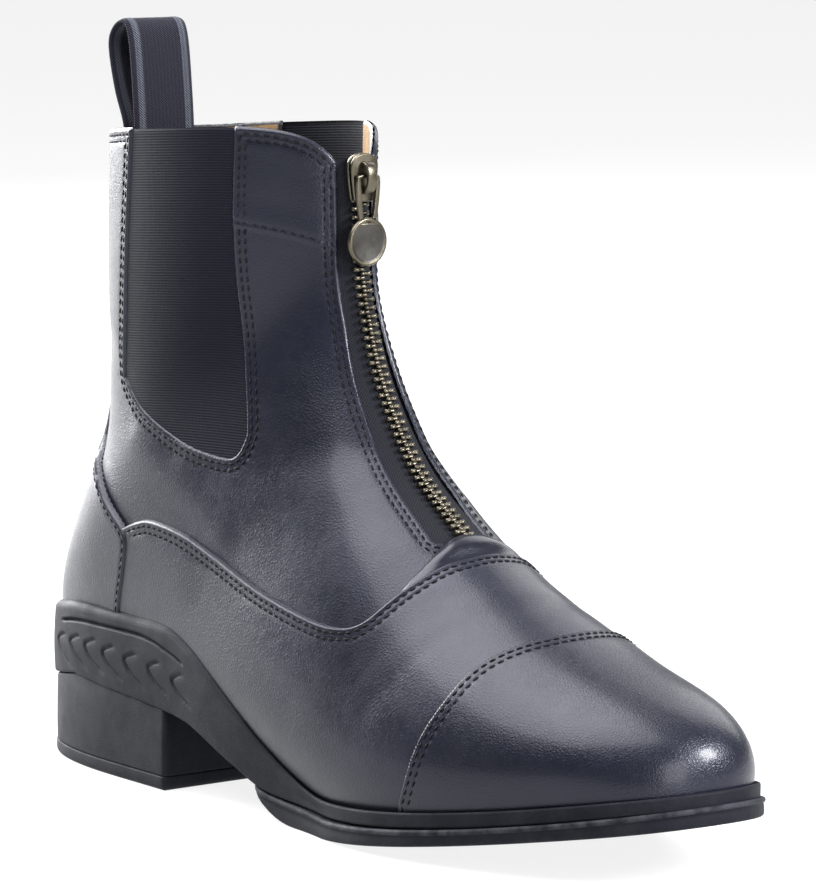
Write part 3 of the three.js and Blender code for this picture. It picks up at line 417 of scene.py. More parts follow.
def zero_loops(values, q, angle):
    """Closed lines round the places where the grid's values are positive, as rows of (q, angle)."""
    v = values.copy()
    v[[0, -1], :] = np.minimum(v[[0, -1], :], -0.01)
    v[:, [0, -1]] = np.minimum(v[:, [0, -1]], -0.01)
    inside = v > 0
    corners = inside[:-1, :-1].astype(int) + inside[1:, :-1] + inside[:-1, 1:] + inside[1:, 1:]
    links = {}

    def link(a, b):
        links.setdefault(a, []).append(b)
        links.setdefault(b, []).append(a)

    for i, j in np.argwhere((corners > 0) & (corners < 4)):
        i, j = int(i), int(j)
        crossed = []
        if inside[i, j] != inside[i, j + 1]:
            crossed.append((0, i, j))
        if inside[i, j + 1] != inside[i + 1, j + 1]:
            crossed.append((1, i, j + 1))
        if inside[i + 1, j] != inside[i + 1, j + 1]:
            crossed.append((0, i + 1, j))
        if inside[i, j] != inside[i + 1, j]:
            crossed.append((1, i, j))
        if len(crossed) == 2:
            link(*crossed)
        else:
            middle = v[i:i + 2, j:j + 2].mean() > 0
            first = inside[i, j] == middle
            link(crossed[0], crossed[1] if first else crossed[3])
            link(crossed[2], crossed[3] if first else crossed[1])

    def point(key):
        kind, i, j = key
        if kind == 0:
            t = v[i, j] / (v[i, j] - v[i, j + 1])
            return q[i], mix(angle[j], angle[j + 1], t)
        t = v[i, j] / (v[i, j] - v[i + 1, j])
        return mix(q[i], q[i + 1], t), angle[j]

    loops = []
    left = set(links)
    while left:
        start = min(left)
        loop = [start]
        left.discard(start)
        while True:
            ahead = [k for k in links[loop[-1]] if k in left]
            if not ahead:
                break
            loop.append(ahead[0])
            left.discard(ahead[0])
        if len(loop) > 12:
            loops.append(np.array([point(key) for key in loop]))
    return loops


def lengths_of(points):
    return np.concatenate([[0], np.cumsum(np.linalg.norm(np.diff(points, axis=0), axis=1))])


def spaced(params, step, closed=True):
    """The same line with points a step apart on the last."""
    if closed:
        params = np.vstack([params, params[:1]])
    run = lengths_of(last_point(params[:, 0], params[:, 1]))
    count = max(8 if closed else 2, int(round(run[-1] / step)))
    at = np.linspace(0, run[-1], count + 1)
    if closed:
        at = at[:-1]
    return np.column_stack([np.interp(at, run, params[:, 0]), np.interp(at, run, params[:, 1])])


def param_step(q, angle, move):
    """Change of (q, angle) that moves points of the last by the given vectors."""
    a, b = slopes(q, angle)
    aa, ab, bb = (a * a).sum(-1), (a * b).sum(-1), (b * b).sum(-1)
    am, bm = (a * move).sum(-1), (b * move).sum(-1)
    det = np.maximum(aa * bb - ab * ab, 1e-9)
    return (bb * am - ab * bm) / det, (aa * bm - ab * am) / det


def inward(loop, region):
    points = last_point(loop[:, 0], loop[:, 1])
    tangent = np.roll(points, -1, axis=0) - np.roll(points, 1, axis=0)
    normal = last_normal(loop[:, 0], loop[:, 1])
    aside = np.cross(normal, tangent)
    aside /= np.maximum(np.linalg.norm(aside, axis=1, keepdims=True), 1e-9)
    votes = np.sign(region(points + 0.5 * aside) - region(points - 0.5 * aside))
    return aside * (1 if votes.sum() > 0 else -1)


def offset_line(loop, aside, distance):
    q, angle = loop[:, 0].copy(), loop[:, 1].copy()
    parts = max(1, int(math.ceil(abs(distance) / 0.8)))
    for _ in range(parts):
        dq, da = param_step(q, angle, aside * (distance / parts))
        q = np.clip(q + dq, 0, 1)
        angle = angle + da
    return np.column_stack([q, angle])


def tree_of(points):
    tree = KDTree(len(points))
    for i, p in enumerate(points):
        tree.insert(p, i)
    tree.balance()
    return tree


def nearest(tree, points):
    found = [tree.find(p)[1:] for p in points]
    return np.array([f[1] for f in found]), np.array([f[0] for f in found], int)


CROSS_SEAM = catmull([[90.0, 162.6], [98.8, 161.4], [108.9, 159.4], [117.1, 156.6], [126.0, 153.0]], 6)


def cross_rows(distances, step=0.9):
    """Rows of (q, angle) that run a distance above the seam across the front quarters."""
    rows = []
    q = np.linspace(0.7, 1.0, 200)
    for distance in distances:
        row = []
        for angle in np.arange(-1.25, 1.25, step / 32):
            p = last_point(q, np.full_like(q, angle))
            over = side_distance(p, CROSS_SEAM) - distance
            if p[0, 0] > 86 and over[0] < 0 < over[-1]:
                row.append((np.interp(0, over, q), angle))
        rows.append(np.array(row))
    return rows


def cross_relief(p):
    """The upper panel of the front quarters lies over the lower one and fades out upwards."""
    over = side_distance(p, CROSS_SEAM)
    lip = smooth(over, -0.2, 0.2) * mix(1, 0.25, smooth(over, 0.6, 9)) * 0.42
    thread = 0.14 * np.exp(-((over - 1.4) / 0.5) ** 2)
    return np.where((p[..., 0] > 88) & (np.abs(over) < 24), lip * (1 - smooth(over, 12, 22)) - thread, 0)


# Which of a sheet's rows also follow its plain edges
PLAIN_ROWS = (1, 5)


class Sheet:
    """A region of the last as triangles, with each point's distance from the edge and that edge's kind."""

    def __init__(self, region, kind_of, centre=0.0, spacing=2.2, edge=1.1,
                 rows=(0.12, 0.35, 0.7, 1.1, 1.5, 1.9, 2.35, 2.8, 3.25, 3.7, 4.3, 5.2), extra=None):
        self.region = region
        q, angle, points = last_grid(centre)
        self.loops = [spaced(loop, edge) for loop in zero_loops(region(points), q, angle)]
        self.kinds = [kind_of(last_point(l[:, 0], l[:, 1])) for l in self.loops]
        fine = [spaced(loop, 0.15) for loop in self.loops]
        rim = np.vstack([last_point(l[:, 0], l[:, 1]) for l in fine])
        rim_kinds = np.concatenate([kind_of(last_point(l[:, 0], l[:, 1])) for l in fine])
        tree = tree_of(rim)
        sets = []
        edges = []
        start = 0
        for loop in self.loops:
            n = len(loop)
            edges += [(start + i, start + (i + 1) % n) for i in range(n)]
            sets.append(loop)
            start += n
        for loop, kinds in zip(self.loops, self.kinds):
            aside = inward(loop, region)
            for k, row in enumerate(rows):
                line = offset_line(loop, aside, row)
                if k % 2:
                    line = (line + np.roll(line, -1, axis=0)) / 2
                used = (kinds > 0) | (k in PLAIN_ROWS)
                line = line[used & (np.abs(line[:, 1] - centre) < math.pi)]
                if len(line):
                    away, _ = nearest(tree, last_point(line[:, 0], line[:, 1]))
                    sets.append(line[away > 0.88 * row])
        inner = self.fill(centre, spacing)
        points = last_point(inner[:, 0], inner[:, 1])
        keep = region(points) > 0
        inner, points = inner[keep], points[keep]
        away, at = nearest(tree, points)
        keep = away > np.where(rim_kinds[at] > 0, rows[-1] + 0.4 * spacing, rows[1] + 0.6 * spacing)
        if extra is not None:
            at_extra = last_point(extra[:, 0], extra[:, 1])
            away, _ = nearest(tree, at_extra)
            good = (region(at_extra) > 0) & (away > 0.4)
            sets.append(extra[good])
            away, _ = nearest(tree_of(at_extra[good]), points)
            keep &= away > 1.0
        sets.append(inner[keep])
        params = np.vstack(sets)
        flat = np.column_stack([(params[:, 1] - centre) * girth(params[:, 0]), params[:, 0] * FORM_LENGTH])
        out, _, faces, *_ = delaunay_2d_cdt([Vector(p) for p in flat], edges, [], 0, 1e-5, False)
        flat = np.array([tuple(p) for p in out])
        self.q = np.clip(flat[:, 1] / FORM_LENGTH, 0, 1)
        self.angle = flat[:, 0] / girth(self.q) + centre
        faces = np.array(faces)
        middle = flat[faces].mean(1)
        middle_q = np.clip(middle[:, 1] / FORM_LENGTH, 0, 1)
        middle_angle = middle[:, 0] / girth(middle_q) + centre
        within = np.abs(middle_angle - centre) < math.pi - 0.001
        faces = faces[within & (region(last_point(middle_q, middle_angle)) > -0.01)]
        used = np.unique(faces)
        order = np.full(len(self.q), -1)
        order[used] = np.arange(len(used))
        self.faces = order[faces]
        self.q, self.angle = self.q[used], self.angle[used]
        self.points = last_point(self.q, self.angle)
        self.away, at = nearest(tree, self.points)
        self.kind = rim_kinds[at]

    @staticmethod
    def fill(centre, spacing):
        out = []
        rows = int(FORM_LENGTH / (spacing * 0.866))
        half = 120
        turns = np.linspace(-math.pi, math.pi, 2 * half + 1) + centre
        for i in range(1, rows):
            q = i / rows
            run = lengths_of(last_point(np.full(len(turns), q), turns))
            run -= run[half]
            low, high = run[0], run[-1]
            at = np.arange(math.ceil(low / spacing), math.floor(high / spacing) + 1) * spacing
            at = at + (spacing / 2 if i % 2 else 0)
            at = at[(at > low) & (at < high)]
            out.append(np.column_stack([np.full(len(at), q), np.interp(at, run, turns)]))
        return np.vstack(out)

    def shaped(self, height):
        """Points at a height above the last, which may change with the distance from the edge."""
        return surface(self.q, self.angle, height(self) + relief(self.points))

    def runs(self, kind, distance):
        """Lines a distance in from the edges of one kind, as (q, angle) rows."""
        found = []
        for loop, kinds in zip(self.loops, self.kinds):
            marks = kinds == kind
            if not marks.any():
                continue
            aside = inward(loop, self.region)
            line = offset_line(loop, aside, distance)
            rim = last_point(loop[:, 0], loop[:, 1])
            away, _ = nearest(tree_of(rim), last_point(line[:, 0], line[:, 1]))
            good = marks & (away > 0.93 * distance)
            if good.all():
                found.append(np.vstack([line, line[:1]]))
                continue
            first = int(np.argmin(marks))
            order = (np.arange(len(loop)) + first) % len(loop)
            run = []
            for i in order:
                if marks[i]:
                    if good[i]:
                        run.append(line[i])
                elif len(run) > 2:
                    found.append(np.array(run))
                    run = []
                else:
                    run = []
            if len(run) > 2:
                found.append(np.array(run))
        return found


def rolled(away, radius):
    return np.sqrt(np.clip(1 - (1 - np.clip(away / radius, 0, 1)) ** 2, 0, 1))


STITCH_ROWS = (1.9, 3.7)
SEAM_SINK = 0.24
LIP = 0.22
THREAD_SINK = 0.04


def seam_relief(away, rows=STITCH_ROWS):
    """Raised folded edge, and the furrows that the thread pulls."""
    total = LIP * smooth(away, 0.2, 0.8) * (1 - smooth(away, 1.0, 1.9))
    for row in rows:
        total = total - SEAM_SINK * np.exp(-((away - row) / 0.5) ** 2)
    return total


# Frame objects

def place(points):
    """From forward, outward, height in millimetres to the frame's metres."""
    p = np.asarray(points, float)
    return np.column_stack([-p[:, 1] + SHIFT_X, MIDDLE - p[:, 0] + SHIFT_Y, p[:, 2]]) * MM


# Values of the "edge" attribute where there is no edge wear or painted highlight, and on the pull's disc
NO_EDGE_WEAR_OR_HIGHLIGHT = 10.0
DISC_FACE = 20.0


def finished(name, mesh, edge, material, body=BODY):
    """The mesh's object, riding on a body; edge is each point's distance from the piece's edge."""
    mesh.polygons.foreach_set("use_smooth", np.ones(len(mesh.polygons), bool))
    mesh.attributes.new("edge", "FLOAT", "POINT").data.foreach_set("value", np.asarray(edge, np.float32))
    mesh.materials.append(material)
    mesh.update()
    obj = bpy.data.objects.new(name, mesh)
    bpy.context.scene.collection.objects.link(obj)
    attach(obj, body)
    return obj


def add_piece(name, points, faces, material, body=BODY, edge=None, flat=None):
    """A mesh object from points in the boot's own axes; flat gives each point's place in the cloth."""
    mesh = bpy.data.meshes.new(name)
    mesh.from_pydata(place(points).tolist(), [], [tuple(int(i) for i in f) for f in faces])
    mesh.update()
    bm = bmesh.new()
    bm.from_mesh(mesh)
    bmesh.ops.recalc_face_normals(bm, faces=bm.faces)
    bm.to_mesh(mesh)
    bm.free()
    if flat is not None:
        layer = mesh.uv_layers.new(name="cloth")
        corners = np.empty(len(mesh.loops), np.int32)
        mesh.loops.foreach_get("vertex_index", corners)
        layer.uv.foreach_set("vector", np.asarray(flat, np.float32)[corners].ravel())
    if edge is None:
        edge = np.full(len(points), NO_EDGE_WEAR_OR_HIGHLIGHT)
    return finished(name, mesh, edge, material, body)


def sheet_piece(name, sheet, height, material, inside=False):
    """A sheet as a mesh object whose faces look out of the last, or into it."""
    points = sheet.shaped(height)
    faces = sheet.faces.copy()
    a, b, c = (points[faces[:, i]] for i in range(3))
    normal = last_normal(sheet.q, sheet.angle)[faces].mean(1)
    wrong = (np.cross(b - a, c - a) * normal).sum(1) < 0
    if inside:
        wrong = ~wrong
    faces[wrong] = faces[wrong][:, ::-1]
    mesh = bpy.data.meshes.new(name)
    mesh.from_pydata(place(points).tolist(), [], faces.tolist())
    # Distance from sewn and folded edges: there the leather is painted paler, as wear and painted highlight, and the
    # lining shows its facing.
    return finished(name, mesh, np.where(sheet.kind > 0, sheet.away, NO_EDGE_WEAR_OR_HIGHLIGHT), material)


def grid_quads(rows, columns, whole=None):
    """Faces between neighbouring points of a grid, or those of them that are whole."""
    index = np.arange(rows * columns).reshape(rows, columns)
    quads = np.stack([index[:-1, :-1], index[1:, :-1], index[1:, 1:], index[:-1, 1:]], -1)
    return quads.reshape(-1, 4) if whole is None else quads[whole]


def joined(parts):
    """Points and faces of several small meshes as one."""
    points, faces, start = [], [], 0
    for p, f in parts:
        points.append(np.asarray(p, float))
        faces += [tuple(int(i) + start for i in face) for face in f]
        start += len(p)
    return np.vstack(points), faces


def tube_faces(rings, around, ends=True):
    faces = []
    for i in range(rings - 1):
        for j in range(around):
            k = (j + 1) % around
            faces.append((i * around + j, i * around + k, (i + 1) * around + k, (i + 1) * around + j))
    if ends:
        faces.append(tuple(range(around))[::-1])
        faces.append(tuple((rings - 1) * around + j for j in range(around)))
    return faces


STITCH_PROFILE = [(-0.5, 0.25, -1.1), (-0.34, 0.85, -0.1), (0.0, 1.0, 0.35), (0.34, 0.85, -0.1), (0.5, 0.25, -1.1)]


def stitch_meshes(params, height, pitch, thickness, share=0.8):
    """Stitches along a line on the last, each dipping into the leather at both ends."""
    line = spaced(params, 0.5, closed=False)
    points = last_point(line[:, 0], line[:, 1])
    run = lengths_of(points)
    count = int(run[-1] / pitch)
    if count < 1:
        return []
    at = (np.arange(count) + 0.5) * run[-1] / count
    q, angle = np.interp(at, run, line[:, 0]), np.interp(at, run, line[:, 1])
    centre = last_point(q, angle)
    normal = last_normal(q, angle)
    centre = centre + normal * (height(centre) + relief(centre))[:, None]
    ahead = np.column_stack([np.interp(at + 0.4, run, points[:, k]) - np.interp(at - 0.4, run, points[:, k])
                             for k in range(3)])
    ahead /= np.maximum(np.linalg.norm(ahead, axis=1, keepdims=True), 1e-9)
    aside = np.cross(normal, ahead)
    parts = []
    around = 6
    turn = np.arange(around) * 2 * math.pi / around
    faces = tube_faces(len(STITCH_PROFILE), around)
    for c, n, t, s in zip(centre, normal, ahead, aside):
        t = t + 0.09 * s
        rings = [c + t * (along * pitch * share) + n * (lift * thickness)
                 + (np.cos(turn)[:, None] * s + np.sin(turn)[:, None] * n * 0.8) * (thickness * size)
                 for along, size, lift in STITCH_PROFILE]
        parts.append((np.vstack(rings), faces))
    return parts


# Sole

def under_cup(forward):
    return feather_height(np.minimum(forward, HEEL_LENGTH)) - HEEL_CUP_HEIGHT


def under_line():
    """Underside of the moulded sole as (forward, height): cup, shank, then the outsole's top."""
    breast = under_cup(HEEL_LENGTH) - HEEL_CUP_HEIGHT * 0.17
    joint = 0.572 * BOOT_LENGTH
    shank = catmull([[HEEL_LENGTH, breast], [0.336 * BOOT_LENGTH, breast * 0.9], [0.41 * BOOT_LENGTH, breast * 0.59],
                     [0.47 * BOOT_LENGTH, breast * 0.34], [joint, OUTSOLE_THICKNESS]], 10)
    fore = np.linspace(joint, BOOT_LENGTH * 1.05, 60)[1:]
    fore = np.column_stack([fore, feather_height(fore) - (BALL_SEAT_HEIGHT - OUTSOLE_THICKNESS)])
    cup = np.array([[a, under_cup(a)] for a in (-0.05 * BOOT_LENGTH, 0.0, 0.1 * BOOT_LENGTH)])
    return np.vstack([cup, shank, fore])


UNDER = under_line()


def under(forward):
    return np.interp(forward, UNDER[:, 0], UNDER[:, 1])


def tread_line():
    back = np.linspace(0.438, 0.52, 12) * BOOT_LENGTH
    t = np.linspace(0, 1, 12)
    rise = OUTSOLE_THICKNESS * 1.6 * (1 - t) ** 2.6
    lift = 0.572 * BOOT_LENGTH
    fore = np.linspace(lift, BOOT_LENGTH * 1.05, 60)
    return np.vstack([np.column_stack([back, rise]),
                      np.column_stack([fore, TOE_SPRING * ((fore - lift) / (BOOT_LENGTH - lift)) ** 1.25])])


TREAD = tread_line()


def ledge(forward):
    share = np.asarray(forward, float) / BOOT_LENGTH
    return mix(mix(4.2, 1.8, smooth(share, 0.12, 0.33)), 4.0, smooth(share, 0.42, 0.66))


def feather_sides(steps):
    """Plan outline at the feather line: (forward, outward) rows from toe to heel for each side."""
    def clear(q, angle):
        p = last_point(q, angle)
        return p[..., 2] - feather_height(p[..., 0])

    def bisect(low, high, above):
        low, high = np.broadcast_arrays(np.asarray(low, float), np.asarray(high, float))
        low, high = low.copy(), high.copy()
        for _ in range(40):
            middle = (low + high) / 2
            good = above(middle)
            low, high = np.where(good, middle, low), np.where(good, high, middle)
        return (low + high) / 2

    toe = bisect(0.5, 0.0, lambda q: clear(q, np.zeros_like(q)) > 0)
    heel = bisect(1.0, 0.4, lambda q: clear(q, np.full_like(q, math.pi)) > 0)
    tip, back = last_point(toe, 0.0), last_point(heel, math.pi)
    sides = []
    for sign in (1, -1):
        t = (1 - np.cos(np.pi * np.arange(1, 400) / 400)) / 2
        q = toe + (heel - toe) * t
        angle = bisect(np.zeros_like(q), np.full_like(q, math.pi), lambda turn: clear(q, sign * turn) > 0)
        p = last_point(q, sign * angle)
        line = np.vstack([tip[[0, 1]], p[:, [0, 1]], back[[0, 1]]])
        run = lengths_of(line)
        weight = np.interp(line[:, 0], [0, 95, 110, 271], [2.6, 2.6, 1, 1])
        run = np.concatenate([[0], np.cumsum(np.diff(run) * (weight[1:] + weight[:-1]) / 2)])
        at = (np.arange(steps) + 0.5) / steps * run[-1]
        sides.append(np.column_stack([np.interp(at, run, line[:, 0]), np.interp(at, run, line[:, 1])]))
    return sides


def loop_normals(loop):
    ahead = np.roll(loop, -1, axis=0) - np.roll(loop, 1, axis=0)
    ahead = sum(np.roll(ahead, k, axis=0) for k in (-2, -1, 0, 1, 2))
    ahead /= np.linalg.norm(ahead, axis=1, keepdims=True)
    normal = np.column_stack([ahead[:, 1], -ahead[:, 0]])
    centre = loop.mean(0)
    if ((loop - centre) * normal).sum() < 0:
        normal = -normal
    return normal


SIDE_STEPS = 330
OUTER_SIDE, INNER_SIDE = feather_sides(SIDE_STEPS)
FEATHER_LOOP = np.vstack([OUTER_SIDE, INNER_SIDE[::-1]])
FEATHER_NORMALS = loop_normals(FEATHER_LOOP)


def ring_of(loop, normals, outset, height):
    p = loop + normals * np.broadcast_to(outset, len(loop))[:, None]
    return np.column_stack([p, np.broadcast_to(height, len(loop))])


def bridged(count, first, flip):
    """Faces across a loop whose two halves mirror each other."""
    faces = []
    for i in range(count // 2 - 1):
        face = (first + i, first + i + 1, first + count - 2 - i, first + count - 1 - i)
        faces.append(face[::-1] if flip else face)
    return faces


class Rings:
    """Rings round a plan outline, one above the other, with the edge mark of each, which sets its wear and painted
    highlight.
    """

    def __init__(self, loop):
        self.loop, self.normal = loop, loop_normals(loop)
        self.rings, self.marks = [], []

    def add(self, outset, height, mark=NO_EDGE_WEAR_OR_HIGHLIGHT):
        self.rings.append(ring_of(self.loop, self.normal, outset, height))
        self.marks.append(np.full(len(self.loop), float(mark)))

    def piece(self, name, finish, ends="capped"):
        """One piece of the rings: both ends capped, both bridged across, or only the first capped."""
        n, count = len(self.loop), len(self.rings)
        faces = tube_faces(count, n, ends=ends == "capped")
        if ends == "bridged":
            faces += bridged(n, 0, True) + bridged(n, (count - 1) * n, False)
        elif ends == "first":
            faces.append(tuple(range(n))[::-1])
        return add_piece(name, np.vstack(self.rings), faces, material_of(finish),
                         edge=np.concatenate(self.marks))


# The groove round the cup and the tips of its hooks: (forward, share of the cup's height)
GROOVE = catmull([[-5, 0.70], [3, 0.70], [14, 0.735], [21, 0.745], [27, 0.762], [42, 0.785], [58, 0.79], [66, 0.78],
                  [74, 0.73], [81.6, 0.655], [88, 0.55]], 8)
HOOK_TIPS = ((16, 0.476), (25.5, 0.462), (35, 0.452), (45, 0.428), (56.5, 0.40), (69, 0.372), (81.5, 0.305))


def hook_path(tip, share):
    """Hook with its point to the back: a short upper arm and a long lower one."""
    height = float(under_cup(tip)) + share * HEEL_CUP_HEIGHT
    return catmull([[tip + 5.2, height + 2.2], [tip + 2.4, height + 1.4], [tip, height],
                    [tip + 1.8, height - 2.5], [tip + 5.2, height - 4.7], [tip + 10.5, height - 7.2]], 5)


HOOKS = [hook_path(tip, share) for tip, share in HOOK_TIPS]


def cup_relief(forward, height):
    """Hooked marks of the heel cup's side."""
    p = np.column_stack([forward, np.zeros_like(forward), height])
    depth = np.zeros(forward.shape)
    for path in HOOKS:
        signed = side_distance(p, path)
        near = np.abs(signed)
        run = smooth(forward, path[-1][0] + 1.5, path[-1][0] - 3)
        depth = depth + 0.38 * np.exp(-(near / 0.45) ** 2) * run
        ramp = np.clip(signed / 3.2, 0, 1)
        depth = depth + 0.32 * np.where(signed > 0, (1 - ramp) ** 2, 0) * (near < 3.2) * run
    return depth


# Materials

def new_group(name, inputs, outputs):
    tree = bpy.data.node_groups.new(name, "ShaderNodeTree")
    for label, kind, value in inputs:
        tree.interface.new_socket(label, in_out="INPUT", socket_type=kind).default_value = value
    for label, kind in outputs:
        tree.interface.new_socket(label, in_out="OUTPUT", socket_type=kind)
    return tree, tree.nodes.new("NodeGroupInput"), tree.nodes.new("NodeGroupOutput")


def add_node(tree, kind, inputs=None, **settings):
    """A node with its settings, and its inputs linked to a socket or set to a value."""
    node = tree.nodes.new(kind)
    for key, value in settings.items():
        setattr(node, key, value)
    for key, value in (inputs or {}).items():
        if isinstance(value, bpy.types.NodeSocket):
            tree.links.new(value, node.inputs[key])
        else:
            node.inputs[key].default_value = value
    return node


def calc(tree, operation, *values, clamp=False):
    node = add_node(tree, "ShaderNodeMath", dict(enumerate(values)), operation=operation, use_clamp=clamp)
    return node.outputs[0]


def ranged(tree, value, low, high, to_low=0.0, to_high=1.0):
    node = add_node(tree, "ShaderNodeMapRange", {0: value, 1: low, 2: high, 3: to_low, 4: to_high})
    return node.outputs[0]


def grain_group():
    """Fine leather grain: pebbles between creases, and slow changes of tone."""
    tree, given, out = new_group(
        "leather_grain",
        [("Scale", "NodeSocketFloat", 900.0), ("Pebble", "NodeSocketFloat", 0.5)],
        [("Height", "NodeSocketFloat"), ("Tone", "NodeSocketFloat"), ("Spots", "NodeSocketFloat")])
    at = add_node(tree, "ShaderNodeTexCoord").outputs["Object"]
    warp = add_node(tree, "ShaderNodeTexNoise", {"Vector": at, "Scale": 240.0, "Detail": 3.0})
    bent = add_node(tree, "ShaderNodeVectorMath", {0: warp.outputs["Color"], 1: (0.0016, 0.0016, 0.0016), 2: at},
                    operation="MULTIPLY_ADD").outputs[0]
    cells = add_node(tree, "ShaderNodeTexVoronoi", {"Vector": bent, "Scale": given.outputs["Scale"]},
                     feature="DISTANCE_TO_EDGE")
    pebble = ranged(tree, cells.outputs["Distance"], 0.0, 0.35)
    fine = add_node(tree, "ShaderNodeTexNoise", {"Vector": at, "Scale": 2600.0, "Detail": 4.0, "Roughness": 0.6})
    mixed = add_node(tree, "ShaderNodeMix", {0: given.outputs["Pebble"], 2: fine.outputs["Fac"], 3: pebble})
    slow = add_node(tree, "ShaderNodeTexNoise", {"Vector": at, "Scale": 26.0, "Detail": 4.0})
    spots = add_node(tree, "ShaderNodeTexNoise", {"Vector": at, "Scale": 110.0, "Detail": 5.0, "Roughness": 0.65})
    tree.links.new(mixed.outputs[0], out.inputs["Height"])
    tree.links.new(ranged(tree, slow.outputs["Fac"], 0.3, 0.7), out.inputs["Tone"])
    tree.links.new(ranged(tree, spots.outputs["Fac"], 0.35, 0.7), out.inputs["Spots"])
    return tree


def wear_and_highlight_group():
    """Wear and painted highlight along the edges of a piece, broken up by noise: the mask that paints the edges paler.
    """
    tree, given, out = new_group(
        "rubbed_edge_and_highlight", [("Width", "NodeSocketFloat", 1.2)], [("Mask", "NodeSocketFloat")])
    edge = add_node(tree, "ShaderNodeAttribute", attribute_name="edge", attribute_type="GEOMETRY").outputs["Fac"]
    at = add_node(tree, "ShaderNodeTexCoord").outputs["Object"]
    noise = add_node(tree, "ShaderNodeTexNoise", {"Vector": at, "Scale": 300.0, "Detail": 4.0})
    broken = ranged(tree, noise.outputs["Fac"], 0.35, 0.62)
    near = add_node(tree, "ShaderNodeMapRange", {0: edge, 1: 0.0, 2: given.outputs["Width"], 3: 1.0, 4: 0.0})
    tree.links.new(calc(tree, "MULTIPLY", near.outputs[0], broken, clamp=True), out.inputs["Mask"])
    return tree


def weave_group():
    """Crossing threads: ribs along one way, finer threads along the other, or a slanted twill; the tone paints shade
    into the grooves.
    """
    tree, given, out = new_group(
        "weave",
        [("Vector", "NodeSocketVector", (0.0, 0.0, 0.0)), ("Rib", "NodeSocketFloat", 1.0),
         ("Thread", "NodeSocketFloat", 0.5), ("Slant", "NodeSocketFloat", 0.0)],
        [("Height", "NodeSocketFloat"), ("Tone", "NodeSocketFloat")])
    parts = add_node(tree, "ShaderNodeSeparateXYZ", {0: given.outputs["Vector"]})
    slanted = calc(tree, "MULTIPLY_ADD", parts.outputs["X"], given.outputs["Slant"], parts.outputs["Y"])
    rib = calc(tree, "SINE", calc(tree, "DIVIDE", calc(tree, "MULTIPLY", slanted, 2 * math.pi),
                                  given.outputs["Rib"]))
    thread = calc(tree, "SINE", calc(tree, "DIVIDE", calc(tree, "MULTIPLY", parts.outputs["X"], 2 * math.pi),
                                     given.outputs["Thread"]))
    both = calc(tree, "MULTIPLY_ADD", thread, 0.35, rib)
    fuzz = add_node(tree, "ShaderNodeTexNoise", {"Vector": given.outputs["Vector"], "Scale": 2.3, "Detail": 5.0})
    height = calc(tree, "MULTIPLY_ADD", fuzz.outputs["Fac"], 0.5, calc(tree, "MULTIPLY", both, 0.35))
    tree.links.new(height, out.inputs["Height"])
    tree.links.new(ranged(tree, height, -0.3, 0.75), out.inputs["Tone"])
    return tree


def dust_group():
    """Sparse pale specks and dull patches."""
    tree, given, out = new_group(
        "dust", [("Amount", "NodeSocketFloat", 0.3)], [("Mask", "NodeSocketFloat")])
    at = add_node(tree, "ShaderNodeTexCoord").outputs["Object"]
    specks = add_node(tree, "ShaderNodeTexNoise", {"Vector": at, "Scale": 900.0, "Detail": 3.0})
    dull = add_node(tree, "ShaderNodeTexNoise", {"Vector": at, "Scale": 60.0, "Detail": 6.0, "Roughness": 0.7})
    tips = ranged(tree, specks.outputs["Fac"], 0.66, 0.74)
    wide = ranged(tree, dull.outputs["Fac"], 0.45, 0.75)
    both = calc(tree, "MULTIPLY_ADD", tips, 0.6, wide)
    tree.links.new(calc(tree, "MULTIPLY", both, given.outputs["Amount"], clamp=True), out.inputs["Mask"])
    return tree


_groups = {}


def group_node(tree, make, **values):
    if make not in _groups:
        _groups[make] = make()
    return add_node(tree, "ShaderNodeGroup", values, node_tree=_groups[make])


def new_material(name):
    material = bpy.data.materials.new(name)
    material.use_nodes = True
    tree = material.node_tree
    return material, tree, tree.nodes["Principled BSDF"]


def tinted(tree, fac, one, two):
    one, two = (v if isinstance(v, bpy.types.NodeSocket) else (*v, 1) for v in (one, two))
    return add_node(tree, "ShaderNodeMix", {0: fac, 6: one, 7: two}, data_type="RGBA").outputs[2]


def bumped(tree, height, strength, distance):
    node = add_node(tree, "ShaderNodeBump", {"Height": height, "Strength": strength, "Distance": distance})
    return node.outputs[0]


def leather_material(name, colour, roughness, grain, depth, coat=0.22, pebble=0.5, wear_and_highlight_colour=(0.06, 0.065, 0.08)):
    material, tree, shader = new_material(name)
    grains = group_node(tree, grain_group, Scale=grain, Pebble=pebble)
    edges = group_node(tree, wear_and_highlight_group, Width=1.1)
    dark = tuple(c * 0.6 for c in colour)
    light = tuple(c * 1.1 for c in colour)
    base = tinted(tree, grains.outputs["Tone"], dark, light)
    # Paler colour near sewn and folded edges: partly wear, partly a painted highlight along the folds.
    base = tinted(tree, calc(tree, "MULTIPLY", edges.outputs["Mask"], 0.18), base, wear_and_highlight_colour)
    tree.links.new(base, shader.inputs["Base Color"])
    rough = ranged(tree, grains.outputs["Spots"], 0.0, 1.0, roughness - 0.05, roughness + 0.07)
    tree.links.new(rough, shader.inputs["Roughness"])
    shader.inputs["Specular Tint"].default_value = (0.82, 0.84, 1.0, 1.0)
    shader.inputs["Specular IOR Level"].default_value = 0.3
    shader.inputs["Coat Weight"].default_value = coat
    shader.inputs["Coat Roughness"].default_value = 0.2
    tree.links.new(bumped(tree, grains.outputs["Height"], 0.7, depth), shader.inputs["Normal"])
    return material


